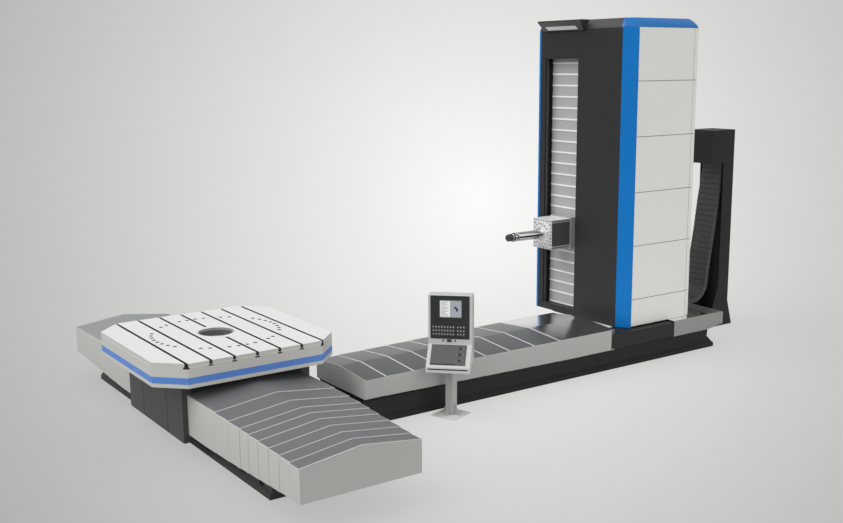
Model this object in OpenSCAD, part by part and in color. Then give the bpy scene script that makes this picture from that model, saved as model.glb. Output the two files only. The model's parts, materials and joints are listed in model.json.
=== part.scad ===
// Horizontal boring machine: a column travels along one bed, a rotary table along another.
// Lengths are in millimetres. X runs along the table bed, Y along the column bed, Z is up.
// Every module draws from the table's axis on the floor, and on_floor() sets the origin on the
// floor under the middle of the whole machine.

/* [Rotary table] */
// Length and width of the square table
table_size = 2500; // [2000:50:3000]
// Size of each cut-off corner
table_corner = 330; // [150:10:400]
// Height of the clamping face above the floor
table_top_z = 1365; // [1300:5:1700]
// Height of the table's upper rim
rim_h = 182; // [140:2:240]
// Height of the painted band under the rim
band_h = 80; // [40:5:100]
// Height of the lower lip under the band
lip_h = 50; // [30:5:60]
// Distance between T-slots
slot_pitch = 310; // [250:10:380]
// Number of T-slots on each side of the middle one
slots_each_side = 3; // [1:1:3]
// Width of a T-slot's neck
slot_neck_w = 36; // [18:2:42]
// Depth of a T-slot's neck
slot_neck_h = 46; // [30:2:50]
// Diameter of the centring bore
bore_d = 456; // [300:4:520]

/* [Table bed] */
// Length of the bed's foot towards -X
table_foot_l = 3316; // [3200:2:3400]
// Length of the bed's foot towards +X
table_foot_r = 2566; // [2400:2:2800]
// Width of the bed's foot
table_foot_w = 1080; // [900:20:1200]
// Width of the bed's upper flange
table_bed_w = 1460; // [1300:20:1470]
// Height of the bed's upper flange
table_bed_z = 560; // [500:10:600]
// Distance between the two ways
table_rail_gauge = 900; // [700:20:1000]
// Length of the table saddle
table_saddle_l = 1880; // [1700:20:2200]
// Width over the saddle's skirts
table_saddle_w = 1780; // [1740:20:1900]
// Height of the skirts' lower edge above the floor
skirt_z = 262; // [150:2:300]

/* [Table covers] */
// Width of the smallest cover box
table_cover_w = 1532; // [1530:2:1600]
// Height of that box's side walls above the floor
table_cover_eave = 796; // [760:2:820]
// Rise of its roof from the side walls to the ridge
table_cover_rise = 99; // [20:1:110]
// Lower edge of its side walls above the floor
table_cover_low = 405; // [402:1:440]
// Length of each sliding box
table_cover_l = 745; // [745:5:780]
// Length of the box fixed to the saddle
table_last_l = 793; // [790:1:900]
// How far each box shows beyond the next larger one, from the end of the bed inwards
table_steps = [214, 222, 233, 239, 224, 208, 281, 362];

/* [Column bed] */
// Distance of the bed's middle from the table's axis
bed_x = 500; // [400:10:600]
// Width of the bed's foot
column_foot_w = 1120; // [1000:20:1200]
// Width of the bed's upper flange
column_bed_w = 1260; // [1160:20:1264]
// Height of the bed's upper flange
column_bed_z = 500; // [460:10:510]
// Distance between the two ways
column_rail_gauge = 800; // [600:20:900]
// Length of the column's saddle
column_saddle_l = 1438; // [1400:2:1700]
// Width of the column's saddle
column_saddle_w = 1480; // [1480:10:1560]

/* [Column covers] */
// Width of the smallest cover box
column_cover_w = 1328; // [1328:2:1340]
// Height of that box's side walls above the floor, in front
column_cover_eave = 680; // [660:2:700]
// Rise of the front boxes' roof
column_cover_rise = 57; // [10:1:70]
// Height of the smallest rear box's side walls
rear_cover_eave = 620; // [600:2:630]
// Rise of the rear boxes' roof
rear_cover_rise = 12; // [4:1:14]
// Lower edge of the side walls
column_cover_low = 411; // [405:1:420]
// Length of each sliding front box
column_cover_l = 620; // [620:5:660]
// Length of each sliding rear box
rear_cover_l = 545; // [500:5:560]
// Length of the front box fixed to the saddle
column_last_l = 1092; // [1000:4:1300]
// Length of the rear box fixed to the saddle
rear_last_l = 883; // [860:1:1000]
// How far the folded rear boxes stand out in all
rear_stack = 424; // [320:8:480]
// How far each front box shows beyond the next larger one, from the end of the bed inwards
column_steps = [337, 445, 416, 415, 416, 448, 464, 499];

/* [Column] */
// Distance of the housing's front face from the table's axis
front_y = 6527; // [6400:1:7000]
// Width of the housing
column_w = 2290; // [2290:10:2800]
// Depth of the housing
column_d = 1524; // [1500:4:1900]
// Height of the housing's top above the floor
column_top_z = 5550; // [5500:10:6800]
// Middle of the housing from the table's axis
column_x = -51; // [-60:1:-40]
// Width of each blue corner, seen from the front
corner_w = 180; // [120:5:220]
// Depth of each blue corner, seen from the side
corner_d = 150; // [100:5:180]
// Height of the sloping edge round the top
crown_h = 150; // [100:5:200]

/* [Headstock and ram] */
// Middle of the ram from the table's axis
ram_x = -464; // [-470:1:-450]
// Height of the spindle at rest
spindle_z = 2039; // [1800:1:2400]
// Width of the ram
ram_w = 462; // [380:2:560]
// Height of the ram
ram_h = 496; // [400:2:600]
// How far the ram stands out of the housing at rest
ram_out = 374; // [250:2:420]
// Width of the opening in the housing's front
window_w = 782; // [782:2:940]
// Height of the headstock
headstock_h = 900; // [820:10:1080]
// Diameter of the boring spindle
boring_d = 148; // [120:1:160]
// How far the tool holder's nose stands out of the ram
nose_out = 786; // [700:2:800]
// Length of the tool holder
holder_l = 230; // [180:5:280]

/* [Mast and console] */
// Distance of the mast's open side from the table's axis
mast_y = 9947; // [9900:1:10100]
// Width of the mast
mast_w = 541; // [480:1:600]
// Height of the mast's post
mast_h = 3054; // [2900:2:3300]
// Height of the hood on the mast
hood_h = 600; // [500:10:700]
// Width of the console's cabinet
console_w = 617; // [500:1:700]
// Height of the console's top above the floor
console_z = 1740; // [1600:5:1900]

/* [Clearances] */
// Gap between parts that slide or turn on each other
gap = 0.3; // [0.2:0.05:0.5]
// Thickness of the cover sheets
sheet = 3; // [2:0.5:3]

/* [Hidden] */
$fn = 64;

cast_black = "#3a3a38";
panel_white = "#cfd0ca";
paint_blue = "#1f6fb8";
charcoal = "#424244";
sheet_grey = "#b4b5b2";
steel = "#c8c8c6";
dark_steel = "#6d6e70";

// Where the whole machine starts and ends, and the middle of that length.
foot_flare = 139;
mast_d = 279;
mast_wall = 14;
y_mid = (mast_y + mast_d + foot_flare - table_size / 2) / 2;

// Table: heights of its layers, from the top down.
rim_z = table_top_z - rim_h;
band_z = rim_z - band_h;
lip_z = band_z - lip_h;
bearing_h = 48;
saddle_top_z = lip_z - gap - bearing_h;
bearing_r = 780;
bearing_w = 180;
slot_foot_w = slot_neck_w * 1.7;
slot_foot_h = slot_neck_w * 0.7;
slot_stop = bore_d / 2 + 102;
pad_r = 150;

// Ways and feed screws.
rail_w = 120;
table_rail_z = table_bed_z + 80;
column_rail_z = column_bed_z + 60;
trough_w = 340;
trough_h = 90;
screw_r = 35;
screw_block_l = 100;
screw_block_w = 190;

// Covers: how much each box is larger than the next one.
boxes = 9;
table_side_step = 7;
table_top_step = 10;
table_low_step = 5;
column_side_step = 9;
column_top_step = 4;
column_low_step = 3;
lip_l = 22;
fold_w = 22;
end_plate = 16;
back_plate = 8;
way_clear = 14;
table_last_x = table_saddle_l / 2 + table_last_l;
saddle_y = front_y - 390;
saddle_rear_y = saddle_y + column_saddle_l;
column_last_y = saddle_y - column_last_l;
rear_last_y = saddle_rear_y + rear_last_l;
function total(list, n) = n == 0 ? 0 : list[n - 1] + total(list, n - 1);
// Outer end of box k, where box 1 is the smallest and box 9 the one on the saddle.
function table_end(k) = table_last_x + total(table_steps, boxes - 1) - total(table_steps, k - 1);
column_span = total(column_steps, boxes - 1);
function column_end(k) = column_last_y - column_span + total(column_steps, k - 1);
function rear_end(k) = rear_last_y + rear_stack * (column_last_y - column_end(k)) / column_span;
table_bed_half = table_end(1) - end_plate;
bed_front_y = column_end(1) + end_plate;
bed_rear_y = rear_end(1) - end_plate;

// Foot pockets along each side of a bed, from the middle outwards, and their anchor holes.
pocket_xs = [284, 789, 1304, 1561, 1814, 2295];
pocket_w = 110;
pocket_z = 85;
pocket_h = 215;
pocket_d = 100;
anchor_r = 15;
link_w = 900;
link_z = 245;

// Column: layers of the housing and the casting inside it.
housing_z = 676;
saddle_z = housing_z - 8;
front_low_z = 640;
side_low_z = 658;
ledge_z = front_low_z - 8;
saddle_low = 405;
wing_z = 500;
housing_l = column_x - column_w / 2;
housing_r = column_x + column_w / 2;
front_l = housing_l + corner_w;
front_r = housing_r - corner_w;
rear_y = front_y + column_d;
side_y = front_y + corner_d + 33;
crown_z = column_top_z - crown_h;
skin = 8;
reveal = 163;
frame_y = front_y + reveal;
frame_rear_y = rear_y - 71;
frame_l = housing_l + 196;
frame_r = housing_r - 214;
frame_top_z = crown_z - 20;
window_z = 740;
window_top_z = column_top_z - 618;
bay_side = 45;
bay_d = frame_rear_y - frame_y - 60;
bay_top_z = frame_top_z - 80;
bay_l = ram_x - window_w / 2 - bay_side;
bay_r = ram_x + window_w / 2 + bay_side;
chamber_wall = 90;

// Headstock, ram and spindle.
rail_d = 40;
lift_rail_w = 120;
lift_rail_y = frame_y + 410;
head_y = frame_y + 50;
head_d = 760;
head_side = 5;
screw_x = bay_l + 100;
screw_y = head_y + head_d + 100;
lift_screw_r = 40;
apron_t = 14;
wiper_edge = 62;
collar = 18;
ram_y = front_y - ram_out;
ram_rear_y = rear_y - 351;
ram_bore_d = 260;
flange_d = 400;
flange_t = 40;
nose_d = 221;
nose_t = 70;
nose_rear_y = ram_y + 620;
bar_rear_y = ram_y + 947;
tip_y = ram_y - nose_out;

// Energy chain: its links' height and width, and its route from the mast to the column.
chain_t = 90;
chain_w = 440;
chain_x = -110;
chain_top = [mast_y + 40, mast_h];
chain_low = [mast_y - 281, 948];
chain_turn_r = 330;
bracket_z = 2700;
bracket_h = 110;
bracket_t = 16;
bracket_y = chain_low[0] - 2 * chain_turn_r - 250;
hood_front = 332;

// Console: where it stands, which way it faces, and the outline of its cabinet from the side.
post_x = 1350;
post_y = 2907;
base_turn = 20;
face_turn = 45.6;
post_w = 116;
base_w = 410;
cabinet_z = 780;
lip_bottom_z = 700;
face_y = -90;
desk_y = -350;
desk_z = 1045;
desk_edge_z = 783;
knob_r = 15;
pivot_t = 14;

module on_floor() {
    translate([0, -y_mid, 0]) children();
}

// Prisms drawn from their end outlines along X and along Y.
module x_prism(x0, x1) {
    translate([x0, 0, 0]) rotate([90, 0, 90]) linear_extrude(x1 - x0) children();
}

module y_prism(y0, y1) {
    translate([0, y1, 0]) rotate([90, 0, 0]) linear_extrude(y1 - y0) children();
}

module z_prism(z0, z1) {
    translate([0, 0, z0]) linear_extrude(z1 - z0) children();
}

module block(low, high) {
    translate(low) cube(high - low);
}

// A square with cut-off corners, each cut by c, drawn in by inset.
module cut_square(size, c, inset = 0) {
    s = size / 2 - inset;
    e = size / 2 - c - inset * 0.414;
    polygon([[s, -e], [s, e], [e, s], [-e, s], [-s, e], [-s, -e], [-e, -s], [e, -s]]);
}

// ---- Beds ----

// Section of a bed: foot, waist, upper flange and a trough for the feed screw.
module bed_section(foot_w, bed_w, top_z) {
    f = foot_w / 2;
    b = bed_w / 2;
    t = trough_w / 2;
    difference() {
        polygon([
            [-f, 0], [f, 0], [f, 60], [f - 30, 90], [f - 30, 330], [b, 400], [b, top_z],
            [-b, top_z], [-b, 400], [-f + 30, 330], [-f + 30, 90], [-f, 60]
        ]);
        translate([-t, top_z - trough_h]) square([trough_w, trough_h + 1]);
    }
}

// Tool that cuts one foot pocket with its anchor hole. The pocket opens towards +Y.
module pocket_cut(half_w) {
    block([-pocket_w / 2, half_w - pocket_d, pocket_z],
        [pocket_w / 2, half_w + 1, pocket_z + pocket_h]);
    translate([0, half_w - pocket_d / 2, -1]) cylinder(r = anchor_r, h = pocket_z + 2);
}

// Pockets on both sides of the table bed, apart from those behind the link to the column bed.
module at_table_pockets() {
    for (x = pocket_xs, end = [-1, 1]) {
        rotate([0, 0, 180]) translate([end * x, 0, 0]) children();
        if (abs(end * x - bed_x) > link_w / 2 + pocket_w / 2)
            translate([end * x, 0, 0]) children();
    }
}

// How far the bed's rear end stands back under the covers.
heel_in = 81;
pocket_ys = [2100, 2900, 3700, 4500, 5300, 6100, 6900, 7700, 8400];
module at_column_pockets() {
    for (y = pocket_ys, side = [-90, 90])
        translate([bed_x, y, 0]) rotate([0, 0, side]) children();
}

module table_bed() {
    color(cast_black) on_floor() difference() {
        x_prism(-table_bed_half, table_bed_half)
            bed_section(table_foot_w, table_bed_w, table_bed_z);
        // Beyond the foot only the part under the covers runs on.
        overhang_z = table_cover_low + 5;
        block([table_foot_r, -table_bed_w, -1], [table_bed_half + 1, table_bed_w, overhang_z]);
        block([-table_bed_half - 1, -table_bed_w, -1], [-table_foot_l, table_bed_w, overhang_z]);
        at_table_pockets() pocket_cut(table_foot_w / 2);
    }
}

module column_bed() {
    heel_y = bed_rear_y - heel_in;
    color(cast_black) on_floor() {
        difference() {
            translate([bed_x, 0, 0]) y_prism(bed_front_y, bed_rear_y)
                bed_section(column_foot_w, column_bed_w, column_bed_z);
            // Stepped rear end below the covers.
            x_prism(bed_x - column_bed_w, bed_x + column_bed_w)
                polygon([
                    [heel_y, -1], [heel_y, 70], [heel_y - 143, 199], [heel_y - 126, 339],
                    [bed_rear_y + 1, 400], [bed_rear_y + 1, -1]
                ]);
            at_column_pockets() pocket_cut(column_foot_w / 2);
        }
        // Link bolted to the side of the table bed.
        block([bed_x - link_w / 2, table_foot_w / 2 - 30, 95],
            [bed_x + link_w / 2, bed_front_y, link_z]);
    }
}

module guide_rails() {
    color(steel) on_floor() for (side = [-1, 1]) {
        y = side * table_rail_gauge / 2;
        block([60 - table_bed_half, y - rail_w / 2, table_bed_z],
            [table_bed_half - 60, y + rail_w / 2, table_rail_z]);
        x = bed_x + side * column_rail_gauge / 2;
        block([x - rail_w / 2, bed_front_y + 60, column_bed_z],
            [x + rail_w / 2, bed_rear_y - 60, column_rail_z]);
    }
}

// A feed screw between two end blocks along +X, from x0 to x1, with its trough's floor at z.
module feed_screw(x0, x1, z) {
    for (x = [x0, x1 - screw_block_l])
        block([x, -screw_block_w / 2, z], [x + screw_block_l, screw_block_w / 2, z + 120]);
    translate([x0 + screw_block_l, 0, z + 60]) rotate([0, 90, 0])
        cylinder(r = screw_r, h = x1 - x0 - 2 * screw_block_l);
}

module feed_screws() {
    color(steel) on_floor() {
        feed_screw(80 - table_bed_half, table_bed_half - 80, table_bed_z - trough_h);
        translate([bed_x, 0, 0]) rotate([0, 0, 90])
            feed_screw(bed_front_y + 80, bed_rear_y - 80, column_bed_z - trough_h);
    }
}

// ---- Telescopic covers ----

// Outline of a gabled box: half-width, side wall height, ridge height and lower edge.
module gable(w, eave, ridge, low) {
    polygon([[-w, low], [w, low], [w, eave], [0, ridge], [-w, eave]]);
}

// Sheet section: a roof, two walls and a narrow fold along each wall's lower edge.
module cover_section(w, eave, ridge, low) {
    difference() {
        gable(w, eave, ridge, low);
        gable(w - sheet, eave - sheet, ridge - sheet, low + sheet);
        translate([-w + fold_w, low - 1]) square([2 * (w - fold_w), sheet + 2]);
    }
}

// Section of the lip that wipes the next smaller box, which is smaller by the three steps.
module lip_section(w, eave, ridge, low, side, top) {
    difference() {
        gable(w, eave, ridge, low);
        gable(w - side + gap, eave - top + gap, ridge - top + gap, low - 1);
    }
}

// Plate across the inside of a box at its back, open over the bed and the ways.
module back_section(w, eave, ridge, low, bed_w, way_z) {
    difference() {
        gable(w - sheet, eave - sheet, ridge - sheet, low + sheet);
        translate([-bed_w / 2 - 2, low]) square([bed_w + 4, way_z + way_clear - low]);
    }
}

function table_box_w(k) = table_cover_w / 2 + (k - 1) * table_side_step;
function table_box_eave(k) = table_cover_eave + (k - 1) * table_top_step;
function table_box_low(k) = table_cover_low - (k - 1) * table_low_step;

// Box k of the table covers on the +X side.
module table_box(k) {
    w = table_box_w(k);
    eave = table_box_eave(k);
    ridge = eave + table_cover_rise;
    low = table_box_low(k);
    outer = table_end(k);
    inner = k == boxes ? table_saddle_l / 2 : outer - table_cover_l;
    x_prism(inner, k == 1 ? outer - end_plate : outer) cover_section(w, eave, ridge, low);
    if (k == 1)
        x_prism(outer - end_plate, outer) gable(w, eave, ridge, low);
    if (k > 1)
        x_prism(outer - lip_l, outer)
            lip_section(w, eave, ridge, low, table_side_step, table_top_step);
    if (k < boxes)
        x_prism(inner, inner + back_plate)
            back_section(w, eave, ridge, low, table_bed_w, table_rail_z);
}

module table_cover(k) {
    color(sheet_grey) on_floor() for (end = [0, 1]) mirror([end, 0, 0]) union() table_box(k);
}

function column_box_w(k) = column_cover_w / 2 + (k - 1) * column_side_step;
function column_box_low(k) = column_cover_low - (k - 1) * column_low_step;

// Box k of the column covers, drawn along +X from inner to outer with its own roof.
module column_box(k, inner, outer, first_eave, rise) {
    w = column_box_w(k);
    eave = first_eave + (k - 1) * column_top_step;
    ridge = eave + rise;
    low = column_box_low(k);
    x_prism(inner, k == 1 ? outer - end_plate : outer) cover_section(w, eave, ridge, low);
    if (k == 1)
        x_prism(outer - end_plate, outer) gable(w, eave, ridge, low);
    if (k > 1)
        x_prism(outer - lip_l, outer)
            lip_section(w, eave, ridge, low, column_side_step, column_top_step);
    if (k < boxes)
        x_prism(inner, inner + back_plate)
            back_section(w, eave, ridge, low, column_bed_w, column_rail_z);
}

roof_run = 63;
module column_cover(k) {
    last = k == boxes;
    color(sheet_grey) on_floor() translate([bed_x, 0, 0]) {
        rotate([0, 0, -90]) union() {
            column_box(k, last ? -saddle_y : -column_end(k) - column_cover_l, -column_end(k),
                column_cover_eave, column_cover_rise);
            // The last roof runs on over the front of the saddle.
            if (last)
                x_prism(-saddle_y - roof_run, -saddle_y) last_roof();
        }
        rotate([0, 0, 90]) union()
            column_box(k, last ? saddle_rear_y : rear_end(k) - rear_cover_l, rear_end(k),
                rear_cover_eave, rear_cover_rise);
    }
}

last_w = column_box_w(boxes);
last_eave = column_cover_eave + (boxes - 1) * column_top_step;
last_ridge = last_eave + column_cover_rise;
module last_roof() {
    polygon([
        [-last_w, last_eave - sheet], [-last_w, last_eave], [0, last_ridge],
        [last_w, last_eave], [last_w, last_eave - sheet], [0, last_ridge - sheet]
    ]);
}

// ---- Table saddle and rotary table ----

nut_l = 300;
nut_w = 220;
skirt_w = 130;
module table_saddle() {
    half_l = table_saddle_l / 2;
    half_w = table_saddle_w / 2 - skirt_w;
    screw_z = table_bed_z - trough_h + 60;
    color(cast_black) on_floor() difference() {
        union() {
            block([-half_l, -half_w, table_rail_z + gap], [half_l, half_w, saddle_top_z]);
            block([-nut_l / 2, -nut_w / 2, screw_z - 50],
                [nut_l / 2, nut_w / 2, table_rail_z + gap]);
        }
        translate([0, 0, screw_z]) rotate([0, 90, 0])
            cylinder(r = screw_r + gap, h = nut_l + 2, center = true);
        translate([0, 0, saddle_top_z - 250]) cylinder(d = bore_d, h = 251);
        translate([0, -430, saddle_top_z - 260]) cylinder(r = 126, h = 261);
    }
}

module saddle_skirts() {
    half_l = table_saddle_l / 2;
    half_w = table_saddle_w / 2;
    r = 60;
    color(cast_black) on_floor() for (side = [0, 1]) rotate([0, 0, side * 180])
        y_prism(-half_w, -half_w + skirt_w) difference() {
            translate([-half_l, skirt_z]) square([2 * half_l, saddle_top_z - skirt_z]);
            // Rounded upper corner and the seam between the two halves of the guard.
            translate([half_l - r, saddle_top_z - r]) difference() {
                square(r + 1);
                circle(r = r);
            }
        }
}

module table_bearing() {
    color(steel) on_floor() translate([0, 0, saddle_top_z]) difference() {
        cylinder(r = bearing_r, h = bearing_h, $fn = 128);
        translate([0, 0, -1]) cylinder(r = bearing_r - bearing_w, h = bearing_h + 2, $fn = 128);
    }
}

module table_drive() {
    color(dark_steel) on_floor() translate([0, -430, saddle_top_z]) {
        translate([0, 0, -250]) cylinder(r = 120, h = 250);
        cylinder(r = pad_r, h = 26);
    }
}

module t_slot(x0, x1) {
    block([x0, -slot_neck_w / 2, table_top_z - slot_neck_h], [x1, slot_neck_w / 2, table_top_z + 1]);
    block([x0, -slot_foot_w / 2, table_top_z - slot_neck_h - slot_foot_h],
        [x1, slot_foot_w / 2, table_top_z - slot_neck_h]);
}

band_t = 24;
module rotary_table() {
    far = table_size / 2 + 1;
    color(panel_white) on_floor() difference() {
        union() {
            z_prism(rim_z, table_top_z) cut_square(table_size, table_corner);
            z_prism(band_z, rim_z) cut_square(table_size, table_corner, band_t);
            z_prism(lip_z, band_z) cut_square(table_size, table_corner);
        }
        for (n = [-slots_each_side : slots_each_side]) translate([0, n * slot_pitch, 0]) {
            if (n == 0) {
                t_slot(-far, -slot_stop);
                t_slot(slot_stop, far);
            } else t_slot(-far, far);
        }
        translate([0, 0, lip_z - 1]) cylinder(d = bore_d, h = table_top_z - lip_z + 2, $fn = 128);
    }
}

module table_band() {
    color(paint_blue) on_floor() z_prism(band_z, rim_z) difference() {
        cut_square(table_size, table_corner);
        cut_square(table_size, table_corner, band_t);
    }
}

// ---- Column ----

module column_saddle() {
    half_w = column_saddle_w / 2;
    screw_z = column_bed_z - trough_h + 60;
    bed_clear = column_bed_w / 2 + 20;
    color(cast_black) on_floor() {
        translate([bed_x, 0, 0]) difference() {
            union() {
                y_prism(saddle_y, saddle_rear_y) polygon([
                    [-half_w, saddle_low], [half_w, saddle_low], [half_w, ledge_z],
                    [-half_w, ledge_z]
                ]);
                // Gabled front that carries the end of the last cover's roof.
                y_prism(saddle_y, saddle_y + roof_run)
                    gable(last_w, last_eave - sheet, last_ridge - sheet, ledge_z - 1);
            }
            block([-bed_clear, saddle_y - 1, saddle_low - 1],
                [bed_clear, saddle_y + column_saddle_l + 1, column_rail_z + gap]);
        }
        translate([bed_x, (saddle_y + saddle_rear_y) / 2, 0]) difference() {
            block([-nut_w / 2, -nut_l / 2, screw_z - 42], [nut_w / 2, nut_l / 2, column_rail_z + gap]);
            translate([0, 0, screw_z]) rotate([90, 0, 0])
                cylinder(r = screw_r + gap, h = nut_l + 2, center = true);
        }
        // Raised seat of the column, and the wing under its overhanging side.
        block([bed_x - half_w, frame_y, ledge_z - 1], [frame_r, saddle_rear_y, saddle_z]);
        block([frame_l, saddle_y + 760, wing_z],
            [bed_x - half_w, saddle_rear_y, saddle_z]);
    }
}

module column_frame() {
    color(cast_black) on_floor() difference() {
        block([frame_l, frame_y, saddle_z], [frame_r, frame_rear_y, frame_top_z]);
        // Bay for the headstock, open to the front.
        block([bay_l, frame_y - 1, window_z], [bay_r, frame_y + bay_d, bay_top_z]);
        // Hollow beside the bay.
        block([bay_r + chamber_wall, frame_y + chamber_wall, window_z + 40],
            [frame_r - chamber_wall, frame_rear_y - chamber_wall, bay_top_z]);
    }
}

module front_cover() {
    l = ram_x - window_w / 2;
    r = ram_x + window_w / 2;
    color(charcoal) on_floor() {
        y_prism(front_y, front_y + skin) difference() {
            translate([front_l, front_low_z]) square([front_r - front_l, crown_z - front_low_z]);
            translate([l, window_z]) square([window_w, window_top_z - window_z]);
        }
        // Returns of the opening, back to the casting.
        y_prism(front_y + skin, frame_y) difference() {
            translate([l - skin, window_z - skin])
                square([window_w + 2 * skin, window_top_z - window_z + 2 * skin]);
            translate([l, window_z]) square([window_w, window_top_z - window_z]);
        }
    }
}

// Section of the blue corner on the right side, between the front and the side panel.
module corner_section() {
    polygon([
        [front_r, front_y], [housing_r, front_y + corner_d], [housing_r, side_y],
        [housing_r - skin, side_y], [housing_r - skin, front_y + corner_d + 4],
        [front_r, front_y + 10]
    ]);
}

module edge_trim() {
    color(paint_blue) on_floor() for (side = [0, 1])
        translate([side * 2 * column_x, 0, 0]) mirror([side, 0, 0])
            z_prism(front_low_z, crown_z) corner_section();
}

seams_z = [1100, 1975, 2835, 3715, 4580];
module side_panels() {
    color(panel_white) on_floor() for (side = [0, 1])
        translate([side * 2 * column_x, 0, 0]) mirror([side, 0, 0]) difference() {
            block([housing_r - skin, side_y, side_low_z], [housing_r, rear_y - 22, crown_z]);
            for (z = seams_z)
                block([housing_r - 3, side_y - 1, z - 2], [housing_r + 1, rear_y, z + 2]);
        }
}

module rear_cover() {
    color(panel_white) on_floor() z_prism(housing_z, crown_z) difference() {
        translate([housing_l, rear_y - 22]) square([column_w, 22]);
        translate([housing_l + skin, rear_y - 23]) square([column_w - 2 * skin, 23 - skin]);
    }
}

crown_in = 115;
module crown(inset, z0, z1) {
    hull() {
        z_prism(z0, z0 + 1) polygon([
            [front_l, front_y + inset], [front_r, front_y + inset],
            [housing_r - inset, front_y + corner_d], [housing_r - inset, rear_y - inset],
            [housing_l + inset, rear_y - inset], [housing_l + inset, front_y + corner_d]
        ]);
        z_prism(z1 - 1, z1) polygon([
            [front_l + crown_in, front_y + crown_in], [front_r - crown_in, front_y + crown_in],
            [housing_r - crown_in, front_y + corner_d + crown_in],
            [housing_r - crown_in, rear_y - 219],
            [housing_l + crown_in, rear_y - 219],
            [housing_l + crown_in, front_y + corner_d + crown_in]
        ]);
    }
}

module top_cover() {
    color(paint_blue) on_floor() difference() {
        crown(0, crown_z, column_top_z);
        block([housing_l + 150, front_y + 300, crown_z - 1],
            [housing_r - 150, rear_y - 240, column_top_z - 12]);
    }
}

module lift_rails() {
    color(steel) on_floor() for (x = [bay_l, bay_r - rail_d])
        block([x, lift_rail_y, window_z], [x + rail_d, lift_rail_y + lift_rail_w, bay_top_z]);
}

module lift_screw() {
    color(steel) on_floor() translate([screw_x, screw_y, window_z])
        cylinder(r = lift_screw_r, h = bay_top_z - window_z);
}

// Motor and gearbox of the vertical feed, on top of the casting.
module lift_drive() {
    color(dark_steel) on_floor() translate([screw_x, screw_y - 80, frame_top_z]) {
        block([-90, -110, 0], [260, 110, 70]);
        translate([180, 0, 70]) cylinder(r = 60, h = 62);
    }
}

// Work light: a wedge-shaped hood with one slanted end and a lens in its sloping face.
light_l = front_l + 150;
light_r = front_l + 1197;
light_taper = 107;
light_out = 190;
light_h = 164;
light_low = crown_z - 18;
lens_in = 14;
lens_l = light_l + 106;
lens_r = light_r - 215;
module light_outline() {
    polygon([
        [front_y, light_low], [front_y - 40, light_low],
        [front_y - light_out, light_low + light_h - 28], [front_y - light_out, light_low + light_h],
        [front_y, light_low + light_h]
    ]);
}

// Strip of the lens, from its sloping outer face inwards.
module lens_outline() {
    slope = [light_out - 40, 28 - light_h] / norm([light_out - 40, light_h - 28]);
    inward = [-slope[1], slope[0]];
    start = [front_y - 40, light_low] - slope * 20;
    end = [front_y - light_out, light_low + light_h - 28] + slope * 20;
    polygon([start, end, end + inward * lens_in, start + inward * lens_in]);
}

module work_light() {
    color(charcoal) on_floor() difference() {
        intersection() {
            x_prism(light_l, light_r) light_outline();
            y_prism(front_y - light_out, front_y) polygon([
                [light_l, light_low], [light_r - light_taper, light_low],
                [light_r, light_low + light_h], [light_l, light_low + light_h]
            ]);
        }
        x_prism(lens_l, lens_r) lens_outline();
    }
}

module light_lens() {
    color("white") on_floor() x_prism(lens_l, lens_r) lens_outline();
}

// ---- Headstock, aprons, ram and spindle ----

module ram_section(grow) {
    translate([ram_x, spindle_z])
        square([ram_w + 2 * grow, ram_h + 2 * grow], center = true);
}

module headstock() {
    low = spindle_z - headstock_h / 2;
    high = spindle_z + headstock_h / 2;
    shoe = rail_d - head_side;
    color(cast_black) on_floor() difference() {
        union() {
            y_prism(head_y, head_y + head_d) difference() {
                translate([bay_l + head_side, low])
                    square([bay_r - bay_l - 2 * head_side, headstock_h]);
                ram_section(gap);
            }
            // Lug that holds the driven nut of the vertical feed.
            block([screw_x - 90, head_y + head_d, spindle_z - 120],
                [screw_x + 70, screw_y + 90, spindle_z + 120]);
        }
        for (x = [bay_l, bay_r - rail_d])
            block([x - gap, lift_rail_y - gap, low - 1],
                [x + rail_d + gap, lift_rail_y + lift_rail_w + gap, high + 1]);
        translate([screw_x, screw_y, low]) cylinder(r = lift_screw_r + gap, h = headstock_h);
    }
}

// Plate that closes the opening round the ram, with a collar that wipes it.
module ram_wiper() {
    low = spindle_z - ram_h / 2 - wiper_edge;
    color(sheet_grey) on_floor() {
        y_prism(frame_y - 6, head_y) difference() {
            translate([ram_x - window_w / 2 + 3, low])
                square([window_w - 6, ram_h + 2 * wiper_edge]);
            ram_section(gap);
        }
        y_prism(front_y + 30, frame_y - 6) difference() {
            ram_section(collar);
            ram_section(gap);
        }
    }
}

// A run of overlapping steel slats between two heights. Each slat's lower edge stands proud, and
// the edges of both runs are a whole number of pitches below the one nearest the window's top.
slat_edge = 8;
slat_first_z = window_top_z - 84;
slat_pitch = (slat_first_z - window_z - 5) / 22;
module apron(z0, z1) {
    l = ram_x - window_w / 2 + 3;
    first = ceil((slat_first_z + slat_edge - z1) / slat_pitch);
    last = floor((slat_first_z - z0) / slat_pitch);
    face = frame_y - apron_t;
    x_prism(l, l + window_w - 6) polygon(concat(
        [[frame_y, z0], [frame_y, z1], [face + 4, z1]],
        [for (n = [first : last]) let (edge = slat_first_z - n * slat_pitch) each [
            [face + 2, edge + slat_edge], [face, edge + slat_edge], [face, edge], [face + 6, edge]
        ]],
        [[face + 3, z0]]
    ));
}

module upper_apron() {
    color(steel) on_floor()
        apron(spindle_z + ram_h / 2 + wiper_edge + gap, window_top_z);
}

module lower_apron() {
    color(steel) on_floor()
        apron(window_z, spindle_z - ram_h / 2 - wiper_edge - gap);
}

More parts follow.
